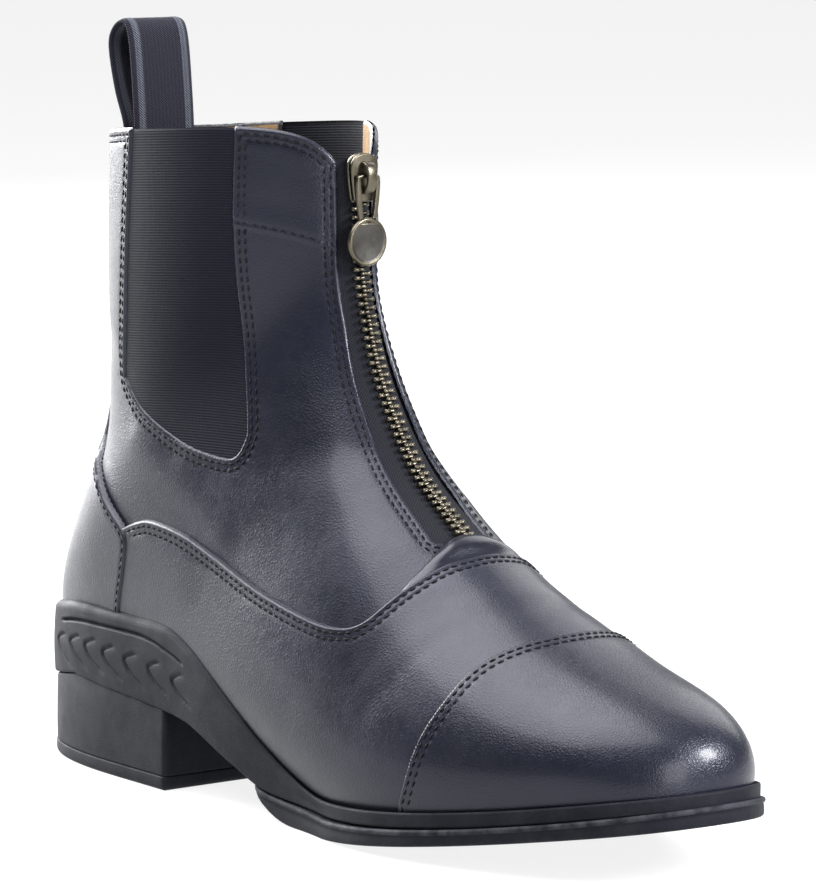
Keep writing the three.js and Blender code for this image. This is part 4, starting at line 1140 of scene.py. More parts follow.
def cloth_material(name, colour, pale, rib, thread, slant, depth, roughness=0.85, stripes=None):
    """Woven cloth in millimetre map coordinates; stripes are (from, to) across it."""
    material, tree, shader = new_material(name)
    at = add_node(tree, "ShaderNodeUVMap", uv_map="cloth").outputs[0]
    weave = group_node(tree, weave_group, Vector=at, Rib=rib, Thread=thread, Slant=slant)
    # The weave's tone darkens the grooves between ribs and threads, which is painted shade, with random fuzz; the
    # stripes are the cloth's own pattern.
    tone = weave.outputs["Tone"]
    if stripes:
        across = add_node(tree, "ShaderNodeSeparateXYZ", {0: at}).outputs["X"]
        far = calc(tree, "ABSOLUTE", across)
        band = calc(tree, "MULTIPLY", ranged(tree, far, stripes[0] - 0.3, stripes[0] + 0.1),
                    ranged(tree, far, stripes[1] - 0.1, stripes[1] + 0.3, 1.0, 0.0))
        plain = tinted(tree, tone, colour, pale)
        striped = tinted(tree, ranged(tree, tone, 0.3, 0.7), (0.012, 0.013, 0.019), (0.10, 0.108, 0.14))
        base = tinted(tree, band, plain, striped)
    else:
        base = tinted(tree, tone, colour, pale)
    tree.links.new(base, shader.inputs["Base Color"])
    shader.inputs["Roughness"].default_value = roughness
    shader.inputs["Sheen Weight"].default_value = 0.03
    shader.inputs["Sheen Roughness"].default_value = 0.5
    shader.inputs["Specular IOR Level"].default_value = 0.15
    tree.links.new(bumped(tree, weave.outputs["Height"], 0.8, depth), shader.inputs["Normal"])
    return material


def rubber_material(name, colour, roughness=0.62):
    material, tree, shader = new_material(name)
    grains = group_node(tree, grain_group, Scale=1500.0, Pebble=0.15)
    dust = group_node(tree, dust_group, Amount=0.3)
    edges = group_node(tree, wear_and_highlight_group, Width=1.0)
    base = tinted(tree, grains.outputs["Tone"], tuple(c * 0.85 for c in colour), tuple(c * 1.15 for c in colour))
    base = tinted(tree, calc(tree, "MULTIPLY", dust.outputs["Mask"], 0.25), base, (0.12, 0.125, 0.14))
    # Paler rubber along the rims: partly wear, partly a painted highlight.
    base = tinted(tree, calc(tree, "MULTIPLY", edges.outputs["Mask"], 0.4), base, (0.09, 0.095, 0.11))
    tree.links.new(base, shader.inputs["Base Color"])
    rough = ranged(tree, grains.outputs["Spots"], 0.0, 1.0, roughness - 0.06, roughness + 0.1)
    tree.links.new(rough, shader.inputs["Roughness"])
    shader.inputs["Specular IOR Level"].default_value = 0.14
    shader.inputs["Specular Tint"].default_value = (0.85, 0.88, 1.0, 1.0)
    tree.links.new(bumped(tree, grains.outputs["Height"], 0.8, 0.00016), shader.inputs["Normal"])
    return material


def metal_material(name, colour, dull, roughness):
    material, tree, shader = new_material(name)
    grains = group_node(tree, grain_group, Scale=700.0, Pebble=0.1)
    dust = group_node(tree, dust_group, Amount=0.9)
    edge = add_node(tree, "ShaderNodeAttribute", attribute_name="edge", attribute_type="GEOMETRY").outputs["Fac"]
    base = tinted(tree, ranged(tree, edge, 12.0, 18.0), colour, (0.085, 0.083, 0.078))
    tree.links.new(tinted(tree, dust.outputs["Mask"], base, dull), shader.inputs["Base Color"])
    shader.inputs["Metallic"].default_value = 1.0
    rough = ranged(tree, grains.outputs["Spots"], 0.0, 1.0, roughness - 0.08, roughness + 0.12)
    tree.links.new(rough, shader.inputs["Roughness"])
    tree.links.new(bumped(tree, grains.outputs["Height"], 0.25, 0.00008), shader.inputs["Normal"])
    return material


def thread_material(name, colour):
    material, tree, shader = new_material(name)
    at = add_node(tree, "ShaderNodeTexCoord").outputs["Object"]
    twist = add_node(tree, "ShaderNodeTexWave", {"Vector": at, "Scale": 900.0, "Distortion": 2.0})
    # Colour follows the twist's bump: darker in the twist's grooves, which is painted shade.
    tree.links.new(tinted(tree, twist.outputs["Fac"], tuple(c * 0.7 for c in colour), colour),
                   shader.inputs["Base Color"])
    shader.inputs["Roughness"].default_value = 0.6
    shader.inputs["Specular IOR Level"].default_value = 0.2
    tree.links.new(bumped(tree, twist.outputs["Fac"], 0.5, 0.0001), shader.inputs["Normal"])
    return material


_materials = {}


def material_of(name):
    """The finish of that name, made once from the values in the sidebar."""
    if name not in _materials:
        look = bpy.context.scene.paddock_boot_look
        leather = tuple(look.leather_colour)
        makers = {
            "leather": lambda: leather_material(
                name, leather, look.leather_roughness, look.grain_scale, look.grain_depth * MM),
            "tab_leather": lambda: leather_material(
                name, tuple(c * 0.8 for c in leather), 0.30, look.grain_scale, 0.00006, coat=0.35),
            "lining": lambda: lining_material(name, tuple(look.lining_colour), leather),
            "elastic": lambda: cloth_material(
                name, (0.002, 0.0024, 0.0048), (0.010, 0.0115, 0.020), look.rib_pitch, 0.62, 0.0, 0.00018),
            "tape": lambda: cloth_material(
                name, (0.003, 0.003, 0.005), (0.014, 0.015, 0.021), 0.9, 0.7, 0.9, 0.0002),
            "webbing": lambda: cloth_material(
                name, (0.004, 0.004, 0.008), (0.022, 0.022, 0.036), 0.75, 1.3, 0.8, 0.0003,
                stripes=(7.3, 9.3)),
            "rubber": lambda: rubber_material(name, tuple(look.rubber_colour)),
            "brass": lambda: metal_material(name, tuple(look.brass_colour), (0.035, 0.031, 0.024), 0.36),
            "steel": lambda: metal_material(name, (0.6, 0.6, 0.61), (0.35, 0.35, 0.37), 0.2),
            "thread": lambda: thread_material(name, tuple(look.thread_colour)),
        }
        _materials[name] = makers[name]()
    return _materials[name]


class BootLook(bpy.types.PropertyGroup):
    """Colours and fine sizes of the boot's finishes."""
    leather_colour: FloatVectorProperty(
        name="Leather", description="Colour of the dyed leather", subtype="COLOR", size=3, min=0, max=1,
        default=(0.0075, 0.0088, 0.0165))
    leather_roughness: FloatProperty(
        name="Leather roughness", description="How dull the leather's finish is", default=0.35, min=0.1, max=1,
        subtype="FACTOR")
    grain_scale: FloatProperty(
        name="Grain scale", description="Pebbles of the leather's grain in a metre", default=1100.0, min=200)
    grain_depth: FloatProperty(
        name="Grain depth", description="Depth of the leather's grain in millimetres", default=0.13, min=0)
    stitch_pitch: FloatProperty(
        name="Stitch pitch", description="Distance between stitches in millimetres", default=2.6, min=1)
    stitch_radius: FloatProperty(
        name="Thread radius", description="Half the thread's thickness in millimetres", default=0.30, min=0.1)
    thread_colour: FloatVectorProperty(
        name="Thread", description="Colour of the sewing thread", subtype="COLOR", size=3, min=0, max=1,
        default=(0.003, 0.0035, 0.0055))
    lining_colour: FloatVectorProperty(
        name="Lining", description="Colour of the lining", subtype="COLOR", size=3, min=0, max=1,
        default=tuple(next(m for m in frame["record"]["materials"] if m["slot"] == "lining")["base_color"]))
    rib_pitch: FloatProperty(
        name="Gore ribs", description="Distance between the gore's ribs in millimetres", default=0.75, min=0.4)
    rubber_colour: FloatVectorProperty(
        name="Rubber", description="Colour of the sole and heel", subtype="COLOR", size=3, min=0, max=1,
        default=(0.007, 0.0074, 0.0108))
    brass_colour: FloatVectorProperty(
        name="Brass", description="Colour of the zip's metal", subtype="COLOR", size=3, min=0, max=1,
        default=(0.13, 0.116, 0.088))
    tooth_pitch: FloatProperty(
        name="Tooth pitch", description="Distance between teeth on one side in millimetres", default=2.4, min=1)


class StudioLook(bpy.types.PropertyGroup):
    """Floor and lights of the studio."""
    floor_colour: FloatVectorProperty(
        name="Floor", description="Colour of the floor and backdrop", subtype="COLOR", size=3, min=0, max=1,
        default=(0.2, 0.2, 0.2))
    floor_glow: FloatProperty(
        name="Floor glow", description="Light that the backdrop gives off itself", default=0.85, min=0)
    key_power: FloatProperty(
        name="Left light", description="Power of the large softbox behind on the left", default=100.0, min=0,
        unit="POWER")
    side_power: FloatProperty(
        name="Right light", description="Power of the softbox on the right", default=46.0, min=0, unit="POWER")
    top_power: FloatProperty(
        name="Top light", description="Power of the softbox overhead", default=60.0, min=0, unit="POWER")


# Kinds of edge
PLAIN, COLLAR, SLOT_EDGE, WINDOW, SEWN, TUCKED = 0, 1, 2, 3, 4, 5
_sheets = {}


def shell_kinds(p):
    kinds = np.zeros(len(p), int)
    kinds[below_collar(p) < 0.9] = COLLAR
    kinds[in_slot(p) > -0.9] = SLOT_EDGE
    kinds[(in_gore(p) > -0.9) & (below_collar(p) > 0.9)] = WINDOW
    kinds[over_sole(p) < 0.9] = PLAIN
    return kinds


def shell_sheet():
    if "shell" not in _sheets:
        seam = np.vstack(cross_rows((-1.2, -0.5, -0.2, 0.0, 0.2, 0.5, 0.95, 1.4, 1.85, 2.6, 3.4)))
        _sheets["shell"] = Sheet(shell_region, shell_kinds, extra=seam)
    return _sheets["shell"]


def vamp_kinds(p):
    edge = np.abs(side_distance(p, VAMP_EDGE)) < 0.9
    return np.where(edge & (p[:, 2] > 45), SEWN, PLAIN)


def cap_kinds(p):
    return np.where((np.abs(side_distance(p, TOE_SEAM)) < 0.9) & (over_sole(p) > 0.9), SEWN, PLAIN)


def counter_kinds(p):
    kinds = np.where(np.abs(in_counter(p)) < 0.9, SEWN, PLAIN)
    kinds[below_collar(p) < 0.9] = COLLAR
    kinds[over_sole(p) < 0.9] = PLAIN
    return kinds


def tab_kinds(p):
    return np.where(side_distance(p, VAMP_EDGE) < -2.0, PLAIN, TUCKED)


def counter_top(p):
    """Height of the counter over the last; its back strip is thinner."""
    return mix(COUNTER_THICKNESS + GAP, 0.95, smooth(p[..., 2], 92, 128))


def level(height):
    """A height over the last that is the same everywhere."""
    return lambda p: np.full(p.shape[:-1], height)


def overlay_height(top, rows=STITCH_ROWS, soft=1.2):
    """Height of an overlay's sheet, rolled down at its edges; top is a function of the points."""
    def height(sheet):
        full = top(sheet.points)
        rise = np.where(sheet.kind > 0, rolled(sheet.away, soft), 1.0)
        return -0.35 + (full + 0.35) * rise + np.where(sheet.kind > 0, seam_relief(sheet.away, rows), 0)
    return height


def shell_height(sheet):
    folded = sheet.kind > 0
    rise = np.where(folded, rolled(sheet.away, 1.1), 1.0)
    return -WALL / 2 * (1 - rise) + np.where(folded, seam_relief(sheet.away), 0) + cross_relief(sheet.points)


def lining_height(sheet):
    rise = np.where(sheet.kind > 0, rolled(sheet.away, 0.9), 1.0)
    return -WALL / 2 - WALL / 2 * rise


def lining_material(name, colour, facing):
    """Suede-like lining with a leather facing turned in along the edges."""
    material, tree, shader = new_material(name)
    grains = group_node(tree, grain_group, Scale=1400.0, Pebble=0.1)
    edge = add_node(tree, "ShaderNodeAttribute", attribute_name="edge", attribute_type="GEOMETRY").outputs["Fac"]
    nap = tinted(tree, grains.outputs["Spots"], tuple(c * 0.55 for c in colour), tuple(c * 1.25 for c in colour))
    inside = ranged(tree, edge, 0.9, 1.2)
    tree.links.new(tinted(tree, inside, facing, nap), shader.inputs["Base Color"])
    tree.links.new(ranged(tree, inside, 0.0, 1.0, 0.45, 0.95), shader.inputs["Roughness"])
    tree.links.new(bumped(tree, grains.outputs["Height"], 0.8, 0.0003), shader.inputs["Normal"])
    return material


class BOOT_OT_upper(bpy.types.Operator):
    """Build the leather shell with its real edges and lining"""
    bl_idname = "boot.upper"
    bl_label = "Upper"

    def execute(self, context):
        sheet = shell_sheet()
        shell = sheet_piece("upper_leather", sheet, shell_height, material_of("leather"))
        sheet_piece("upper_lining", sheet, lining_height, material_of("lining"), inside=True)
        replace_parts(shell, "upper")
        return {"FINISHED"}


class BOOT_OT_overlays(bpy.types.Operator):
    """Build the vamp, the toe cap and the counter with its back strip"""
    bl_idname = "boot.overlays"
    bl_label = "Vamp, toe cap and counter"

    def execute(self, context):
        leather = material_of("leather")
        vamp = Sheet(vamp_region, vamp_kinds, edge=0.9, spacing=2.0)
        cap = Sheet(cap_region, cap_kinds, edge=0.9)
        counter = Sheet(counter_region, counter_kinds, centre=math.pi, spacing=1.9, edge=0.7)
        _sheets.update(vamp=vamp, cap=cap, counter=counter)
        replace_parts(sheet_piece("vamp_leather", vamp, overlay_height(level(VAMP_THICKNESS + GAP)), leather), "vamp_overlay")
        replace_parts(sheet_piece("toe_cap_leather", cap, overlay_height(level(TOE_CAP_THICKNESS + GAP), soft=1.5),
                                leather), "toe_cap")
        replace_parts(sheet_piece("counter_leather", counter, overlay_height(counter_top, rows=(1.9,)),
                                leather), "counter")
        return {"FINISHED"}


def tab_height(sheet):
    rise = rolled(sheet.away, 4.5)
    swell = smooth(side_distance(sheet.points, VAMP_EDGE), -0.3, 4.0)
    return -0.4 + (TAB_THICKNESS + GAP + 0.3 + 1.1 * swell) * rise


class BOOT_OT_tab(bpy.types.Operator):
    """Build the padded tab over the zip's foot"""
    bl_idname = "boot.tab"
    bl_label = "Zip foot tab"

    def execute(self, context):
        sheet = Sheet(tab_region, tab_kinds, spacing=1.3)
        tab = sheet_piece("zip_foot_pad", sheet, tab_height, material_of("tab_leather"))
        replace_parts(tab, "zip_foot_tab")
        return {"FINISHED"}


def column_places(angle, heights):
    """q at which the last reaches each height on its shaft, down one angle."""
    q = np.linspace(0.45, 1.0, 260)
    z = last_point(q, np.full_like(q, angle))[:, 2]
    keep = np.concatenate([[True], np.diff(np.maximum.accumulate(z)) > 1e-6])
    return np.interp(heights, z[keep], q[keep])


RIB_POINTS = 4
# Row of the gore along which its width is measured for the cloth
MEASURED_ROW = 100


class BOOT_OT_gores(bpy.types.Operator):
    """Build the two elastic gores, ribbed across"""
    bl_idname = "boot.gores"
    bl_label = "Elastic gores"

    def execute(self, context):
        look = context.scene.paddock_boot_look
        step = look.rib_pitch / RIB_POINTS
        for name, side in (("gore_outer", 1), ("gore_inner", -1)):
            columns = np.linspace(0.75, 2.75, 60) * side
            depth = np.arange(0.4, 96, step)
            params = []
            for angle in columns:
                top = last_point(np.array([0.985]), np.array([angle]))[0]
                collar = np.interp(top[0], COLLAR_EDGE[:, 0], COLLAR_EDGE[:, 1])
                params.append(np.column_stack([column_places(angle, collar - depth),
                                               np.full(len(depth), angle)]))
            params = np.array(params)
            points = last_point(params[..., 0], params[..., 1])
            ribs = 0.10 * np.abs(np.sin(np.pi * depth / look.rib_pitch))[None, :]
            edge = np.clip(depth / 1.2, 0, 1)[None, :]
            at = surface(params[..., 0], params[..., 1],
                         -1.0 + 0.35 * edge + ribs * edge + relief(points))
            keep = in_gore(points) > -2.2
            whole = keep[:-1, :-1] & keep[1:, :-1] & keep[:-1, 1:] & keep[1:, 1:]
            quads = grid_quads(*keep.shape, whole)
            used = np.unique(quads)
            order = np.full(keep.size, -1)
            order[used] = np.arange(len(used))
            across = np.cumsum(np.concatenate([[0], np.linalg.norm(np.diff(points[:, MEASURED_ROW], axis=0), axis=1)]))
            flat = np.stack(np.broadcast_arrays(across[:, None], depth[None, :]), -1).reshape(-1, 2)
            piece = add_piece(name + "_elastic", at.reshape(-1, 3)[used], order[quads], material_of("elastic"),
                              flat=flat[used])
            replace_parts(piece, name)
        return {"FINISHED"}


class BOOT_OT_stitches(bpy.types.Operator):
    """Sew the seams, two rows to most of them"""
    bl_idname = "boot.stitches"
    bl_label = "Stitches"

    def execute(self, context):
        look = context.scene.paddock_boot_look
        pitch, radius = look.stitch_pitch, look.stitch_radius
        thread = material_of("thread")

        def sunk(top):
            return lambda p: top(p) - THREAD_SINK

        seams = [
            ("stitches_vamp", "vamp", SEWN, STITCH_ROWS, level(VAMP_THICKNESS + GAP)),
            ("stitches_toe_cap", "cap", SEWN, STITCH_ROWS, level(TOE_CAP_THICKNESS + GAP)),
            ("stitches_counter", "counter", SEWN, (1.9,), counter_top),
            ("stitches_back_strip_top", "counter", COLLAR, STITCH_ROWS, counter_top),
            ("stitches_gores", "shell", WINDOW, STITCH_ROWS, level(0.0)),
            ("stitches_zip", "shell", SLOT_EDGE, STITCH_ROWS, level(0.0)),
            ("stitches_collar", "shell", COLLAR, STITCH_ROWS, level(0.0)),
        ]
        for name, sheet, kind, rows, top in seams:
            parts = []
            for row in rows:
                for run in _sheets[sheet].runs(kind, row):
                    if sheet == "shell":
                        p = last_point(run[:, 0], run[:, 1])
                        covered = (in_counter(p) > -0.5) | (side_distance(p, VAMP_EDGE) < 0.5) & (p[:, 0] > 60)
                        run = run[~covered]
                    if len(run) > 2:
                        parts += stitch_meshes(run, sunk(top), pitch, radius)
            if parts:
                points, faces = joined(parts)
                add_piece(name, points, faces, thread)
        parts = []
        for row in cross_rows((1.4,)):
            inside = shell_region(last_point(row[:, 0], row[:, 1])) > 4.4
            for side in (-1, 1):
                run = row[inside & (row[:, 1] * side > 0)]
                parts += stitch_meshes(run, sunk(level(0.3)), pitch, radius)
        points, faces = joined(parts)
        add_piece("stitches_cross_seam", points, faces, thread)
        return {"FINISHED"}


def ridge_table():
    q = np.linspace(0.3, 1.0, 500)
    p = last_point(q, np.zeros_like(q))
    return q, p


RIDGE_Q, RIDGE = ridge_table()


def angle_at_width(q, width, back=False):
    """Angle at which the last is that far outward, on its front or its back half."""
    q, width = np.broadcast_arrays(np.asarray(q, float), np.asarray(width, float))
    low = np.full(q.shape, math.pi * 1.5 if back else -math.pi / 2)
    high = np.full(q.shape, math.pi / 2)
    for _ in range(36):
        middle = (low + high) / 2
        more = last_point(q, middle)[..., 1] > width
        low, high = np.where(more, low, middle), np.where(more, middle, high)
    return (low + high) / 2


def zip_frames(heights, offset):
    """Points up the middle of the zip with their upward and outward directions."""
    q = np.interp(heights, RIDGE[:, 2], RIDGE_Q)
    angle = angle_at_width(q, 0.0)
    point = surface(q, angle, np.full(len(q), offset))
    point[:, 1] = 0.0
    ahead = np.gradient(point, axis=0)
    ahead /= np.linalg.norm(ahead, axis=1, keepdims=True)
    side = np.tile([0.0, 1.0, 0.0], (len(q), 1))
    return point, ahead, -np.cross(ahead, side)


CHAIN_FOOT = 78.0
SLIDER_TOP = SHAFT_HEIGHT - 5.9
SLIDER_FOOT = SLIDER_TOP - 13.4
TAPE_TOP = 181.0

# Sections of one tooth from its head at the middle to its outer end: distance, half height, half depth
TOOTH = [(-0.75, 0.30, 0.45), (-0.55, 0.5, 0.78), (0.25, 0.58, 0.85), (0.75, 0.40, 0.62), (1.2, 0.42, 0.66),
         (1.5, 0.62, 0.92), (2.7, 0.60, 0.90), (2.95, 0.4, 0.6)]


def tooth_mesh(centre, ahead, out, side):
    across = np.array([0.0, side, 0.0])
    corner = 0.62
    outline = [(1, corner), (corner, 1), (-corner, 1), (-1, corner), (-1, -corner), (-corner, -1), (corner, -1),
               (1, -corner)]
    rings = [[centre + across * d + ahead * (half * u) + out * (deep * v) for u, v in outline]
             for d, half, deep in TOOTH]
    return np.vstack(rings), tube_faces(len(TOOTH), len(outline))


class BOOT_OT_zip(bpy.types.Operator):
    """Build the zip's tape and its interlocked teeth"""
    bl_idname = "boot.zip"
    bl_label = "Zip tape and teeth"

    def execute(self, context):
        look = context.scene.paddock_boot_look
        heights = np.arange(72.0, TAPE_TOP, 0.9)
        q = np.interp(heights, RIDGE[:, 2], RIDGE_Q)
        across = np.linspace(-1, 1, 25)
        width = (slot_half(heights) + 2.6)[:, None] * across[None, :]
        rows_q = np.broadcast_to(q[:, None], width.shape)
        angle = angle_at_width(rows_q, width)
        cord = 0.35 * np.exp(-((np.abs(width) - 2.4) / 0.7) ** 2)
        point = surface(rows_q, angle, -0.75 + cord)
        quads = grid_quads(*width.shape)
        run = lengths_of(point[:, width.shape[1] // 2])
        flat = np.stack(np.broadcast_arrays(width, run[:, None]), -1).reshape(-1, 2)
        tape = add_piece("zip_tape_cloth", point.reshape(-1, 3), quads, material_of("tape"), flat=flat)
        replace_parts(tape, "zip_tape")
        fine = np.arange(CHAIN_FOOT, SLIDER_FOOT + 3, 0.1)
        point, ahead, out = zip_frames(fine, 0.55)
        run = lengths_of(point)
        parts = []
        half = look.tooth_pitch / 2
        for k in range(int(run[-1] / half)):
            at = k * half
            c, a, o = (np.array([np.interp(at, run, v[:, i]) for i in range(3)]) for v in (point, ahead, out))
            parts.append(tooth_mesh(c, a, o, 1 if k % 2 else -1))
        points, faces = joined(parts)
        teeth = add_piece("zip_teeth", points, faces, material_of("brass"))
        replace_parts(teeth, "zip_chain")
        return {"FINISHED"}


def swept(path, sides, half_widths, thickness, corner=0.35, closed=False):
    """A flat bar with rounded corners along a path; sides point across the bar."""
    path = np.asarray(path, float)
    sides = np.broadcast_to(np.asarray(sides, float), path.shape)
    ahead = np.roll(path, -1, axis=0) - np.roll(path, 1, axis=0) if closed else np.gradient(path, axis=0)
    ahead /= np.linalg.norm(ahead, axis=1, keepdims=True)
    out = np.cross(ahead, sides)
    out /= np.linalg.norm(out, axis=1, keepdims=True)
    half_widths = np.broadcast_to(half_widths, len(path))
    thickness = np.broadcast_to(thickness, len(path))
    rings = []
    for p, s, o, w, t in zip(path, sides, out, half_widths, thickness):
        r = min(corner, w * 0.98, t * 0.49)
        ring = []
        for cu, cv, start in ((w - r, t / 2 - r, 0), (-(w - r), t / 2 - r, 90), (-(w - r), -(t / 2 - r), 180),
                              (w - r, -(t / 2 - r), 270)):
            for turn in (0, 30, 60, 90):
                a = math.radians(start + turn)
                ring.append(p + s * (cu + r * math.cos(a)) + o * (cv + r * math.sin(a)))
        rings.append(ring)
    around = len(rings[0])
    faces = tube_faces(len(rings), around, ends=not closed)
    if closed:
        last = (len(rings) - 1) * around
        for j in range(around):
            k = (j + 1) % around
            faces.append((last + j, last + k, k, j))
    return np.vstack(rings), faces


def turned(profile, centre, axis_forward, steps=64):
    """A round solid about an axis that points forward: profile rows are (radius, forward)."""
    rings = []
    for radius, forward in profile:
        turn = np.arange(steps) * 2 * math.pi / steps
        rings.append(np.column_stack([np.full(steps, axis_forward + forward), centre[0] + radius * np.cos(turn),
                                      centre[1] + radius * np.sin(turn)]))
    return np.vstack(rings), tube_faces(len(rings), steps)


def slab(outline, low, high, bevel):
    """A flat plate seen from the front, (outward, height) outline, with rounded rims."""
    outline = np.asarray(outline, float)
    normal = loop_normals(outline)
    rings = []
    for turn in (0, 30, 60, 90):
        a = math.radians(turn)
        rings.append((low + bevel * (1 - math.cos(a)), -bevel * (1 - math.sin(a))))
    rings += [(high - (f - low), inset) for f, inset in rings[::-1]]
    points = []
    for forward, inset in rings:
        p = outline + normal * inset
        points.append(np.column_stack([np.full(len(p), forward), p]))
    return np.vstack(points), tube_faces(len(rings), len(outline))


def slider_outline(shrink=0.0):
    half = 9.5 / 2 - shrink
    points = []
    for t in np.linspace(0, math.pi, 25):
        points.append((half * math.cos(t), SLIDER_TOP - shrink - 3.8 * (1 - math.sin(t) ** 0.8)))
    for t in np.linspace(0, 1, 8)[1:]:
        points.append((-half * mix(1, 0.72, t ** 1.4), mix(SLIDER_TOP - 3.8, SLIDER_FOOT + shrink, t)))
    for t in np.linspace(0, 1, 9)[1:-1]:
        points.append((mix(-half * 0.72, half * 0.72, t), SLIDER_FOOT + shrink))
    for t in np.linspace(1, 0, 8)[:-1]:
        points.append((half * mix(1, 0.72, t ** 1.4), mix(SLIDER_TOP - 3.8, SLIDER_FOOT + shrink, t)))
    return np.array(points)


SLIDER_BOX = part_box("zip_slider")
SEAT = MIDDLE + SHIFT_Y - SLIDER_BOX[1].y / MM
PLATE_FRONT = SEAT + 2.6
PULL_AXIS = PLATE_FRONT + (3.4 - 1.2) / 2
BRIDGE_CENTRE = (SLIDER_TOP + SLIDER_FOOT) / 2
DISC_CENTRE = BRIDGE_CENTRE - 17.7


class BOOT_OT_slider(bpy.types.Operator):
    """Build the zip's slider with its arched bridge"""
    bl_idname = "boot.slider"
    bl_label = "Zip slider"

    def execute(self, context):
        parts = [slab(slider_outline(), SEAT, SEAT + 0.9, 0.25),
                 slab(slider_outline(), PLATE_FRONT - 1.0, PLATE_FRONT, 0.35),
                 slab(slider_outline(1.5), SEAT + 0.7, PLATE_FRONT - 0.8, 0.1)]
        arch = []
        for t in np.linspace(0, math.pi, 21):
            arch.append([PLATE_FRONT - 0.5 + 3.3 * math.sin(t) ** 0.7, 0.0,
                         BRIDGE_CENTRE + 3.9 * math.cos(t) * (1 + 0.1 * math.sin(t))])
        width = 1.6 + 0.15 * np.cos(np.linspace(0, 2 * math.pi, 21))
        parts.append(swept(arch, [0, 1, 0], width, 1.2))
        points, faces = joined(parts)
        slider = add_piece("slider_body", points, faces, material_of("brass"))
        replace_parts(slider, "zip_slider")
        return {"FINISHED"}


class BOOT_OT_pull(bpy.types.Operator):
    """Build the pull: a bar through the bridge, two arms, and a bare round disc with a raised rim"""
    bl_idname = "boot.pull"
    bl_label = "Zip pull"

    def execute(self, context):
        inner = 3.2 / 2 + 1.1
        middle = inner + 0.75
        foot = DISC_CENTRE + 6.3
        top = BRIDGE_CENTRE
        loop = []
        for t in np.linspace(0, math.pi, 15):
            loop.append([PULL_AXIS, middle * math.cos(t), top + 0.6 * math.sin(t)])
        for t in np.linspace(0, 1, 10)[1:]:
            loop.append([PULL_AXIS, -mix(middle, 2.3, t ** 2), mix(top, foot, t)])
        for t in np.linspace(0, 1, 6)[1:-1]:
            loop.append([PULL_AXIS, mix(-2.3, 2.3, t), foot - 0.5 * math.sin(t * math.pi)])
        for t in np.linspace(1, 0, 10)[:-1]:
            loop.append([PULL_AXIS, mix(middle, 2.3, t ** 2), mix(top, foot, t)])
        loop = np.array(loop)
        normal = loop_normals(loop[:, [1, 2]])
        side = np.column_stack([np.zeros(len(loop)), normal])
        width = np.where(loop[:, 2] > top - 0.5, 0.55, 0.75)
        parts = [swept(loop, side, width, 1.2, corner=0.3, closed=True)]
        neck = [(-2.6, foot + 0.4), (-2.9, foot - 0.8), (-3.4, DISC_CENTRE + 4.6), (3.4, DISC_CENTRE + 4.6),
                (2.9, foot - 0.8), (2.6, foot + 0.4)]
        neck = catmull(neck + neck[:1], 5)[:-1]
        parts.append(slab(neck, PULL_AXIS - 0.6, PULL_AXIS + 0.6, 0.2))
        r = 13.5 / 2
        face = [(0.01, -0.45), (r - 1.4, -0.45), (r - 1.15, -0.5), (r - 0.95, -0.72), (r - 0.6, -0.8),
                (r - 0.25, -0.72), (r, -0.4), (r, 0.4), (r - 0.25, 0.72), (r - 0.6, 0.8), (r - 0.95, 0.72),
                (r - 1.15, 0.5), (r - 1.4, 0.45), (0.01, 0.45)]
        parts.append(turned(face, (0.0, DISC_CENTRE), PULL_AXIS))
        points, faces = joined(parts)
        reach = np.hypot(points[:, 1], points[:, 2] - DISC_CENTRE)
        pull = add_piece("pull_disc", points, faces, material_of("brass"), body=PULL_BODY,
                         edge=np.where(reach < r - 1.1, DISC_FACE, NO_EDGE_WEAR_OR_HIGHLIGHT))
        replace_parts(pull, "zip_pull")
        return {"FINISHED"}


BACK_SEAM = float(last_point(np.array(0.95), np.array(math.pi))[1])
COLLAR_BACK = float(up(1.942))
LOOP_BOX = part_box("pull_loop")
LOOP_BACK = MIDDLE + SHIFT_Y - LOOP_BOX[1].y / MM
LOOP_RISE, LOOP_TUCK, LOOP_LEAN, LOOP_SPREAD, WEBBING, LOOP_WIDTH = 31.8, 20.0, 7.2, 5.0, 1.6, 21.4

# How far outward of the back seam the loop and the badge sit, as in the photo
LOOP_ASIDE = 1.6
BADGE_ASIDE = 3.0
BADGE_HALF_WIDTH = 4.5
BADGE_HALF_HEIGHT = 5.5


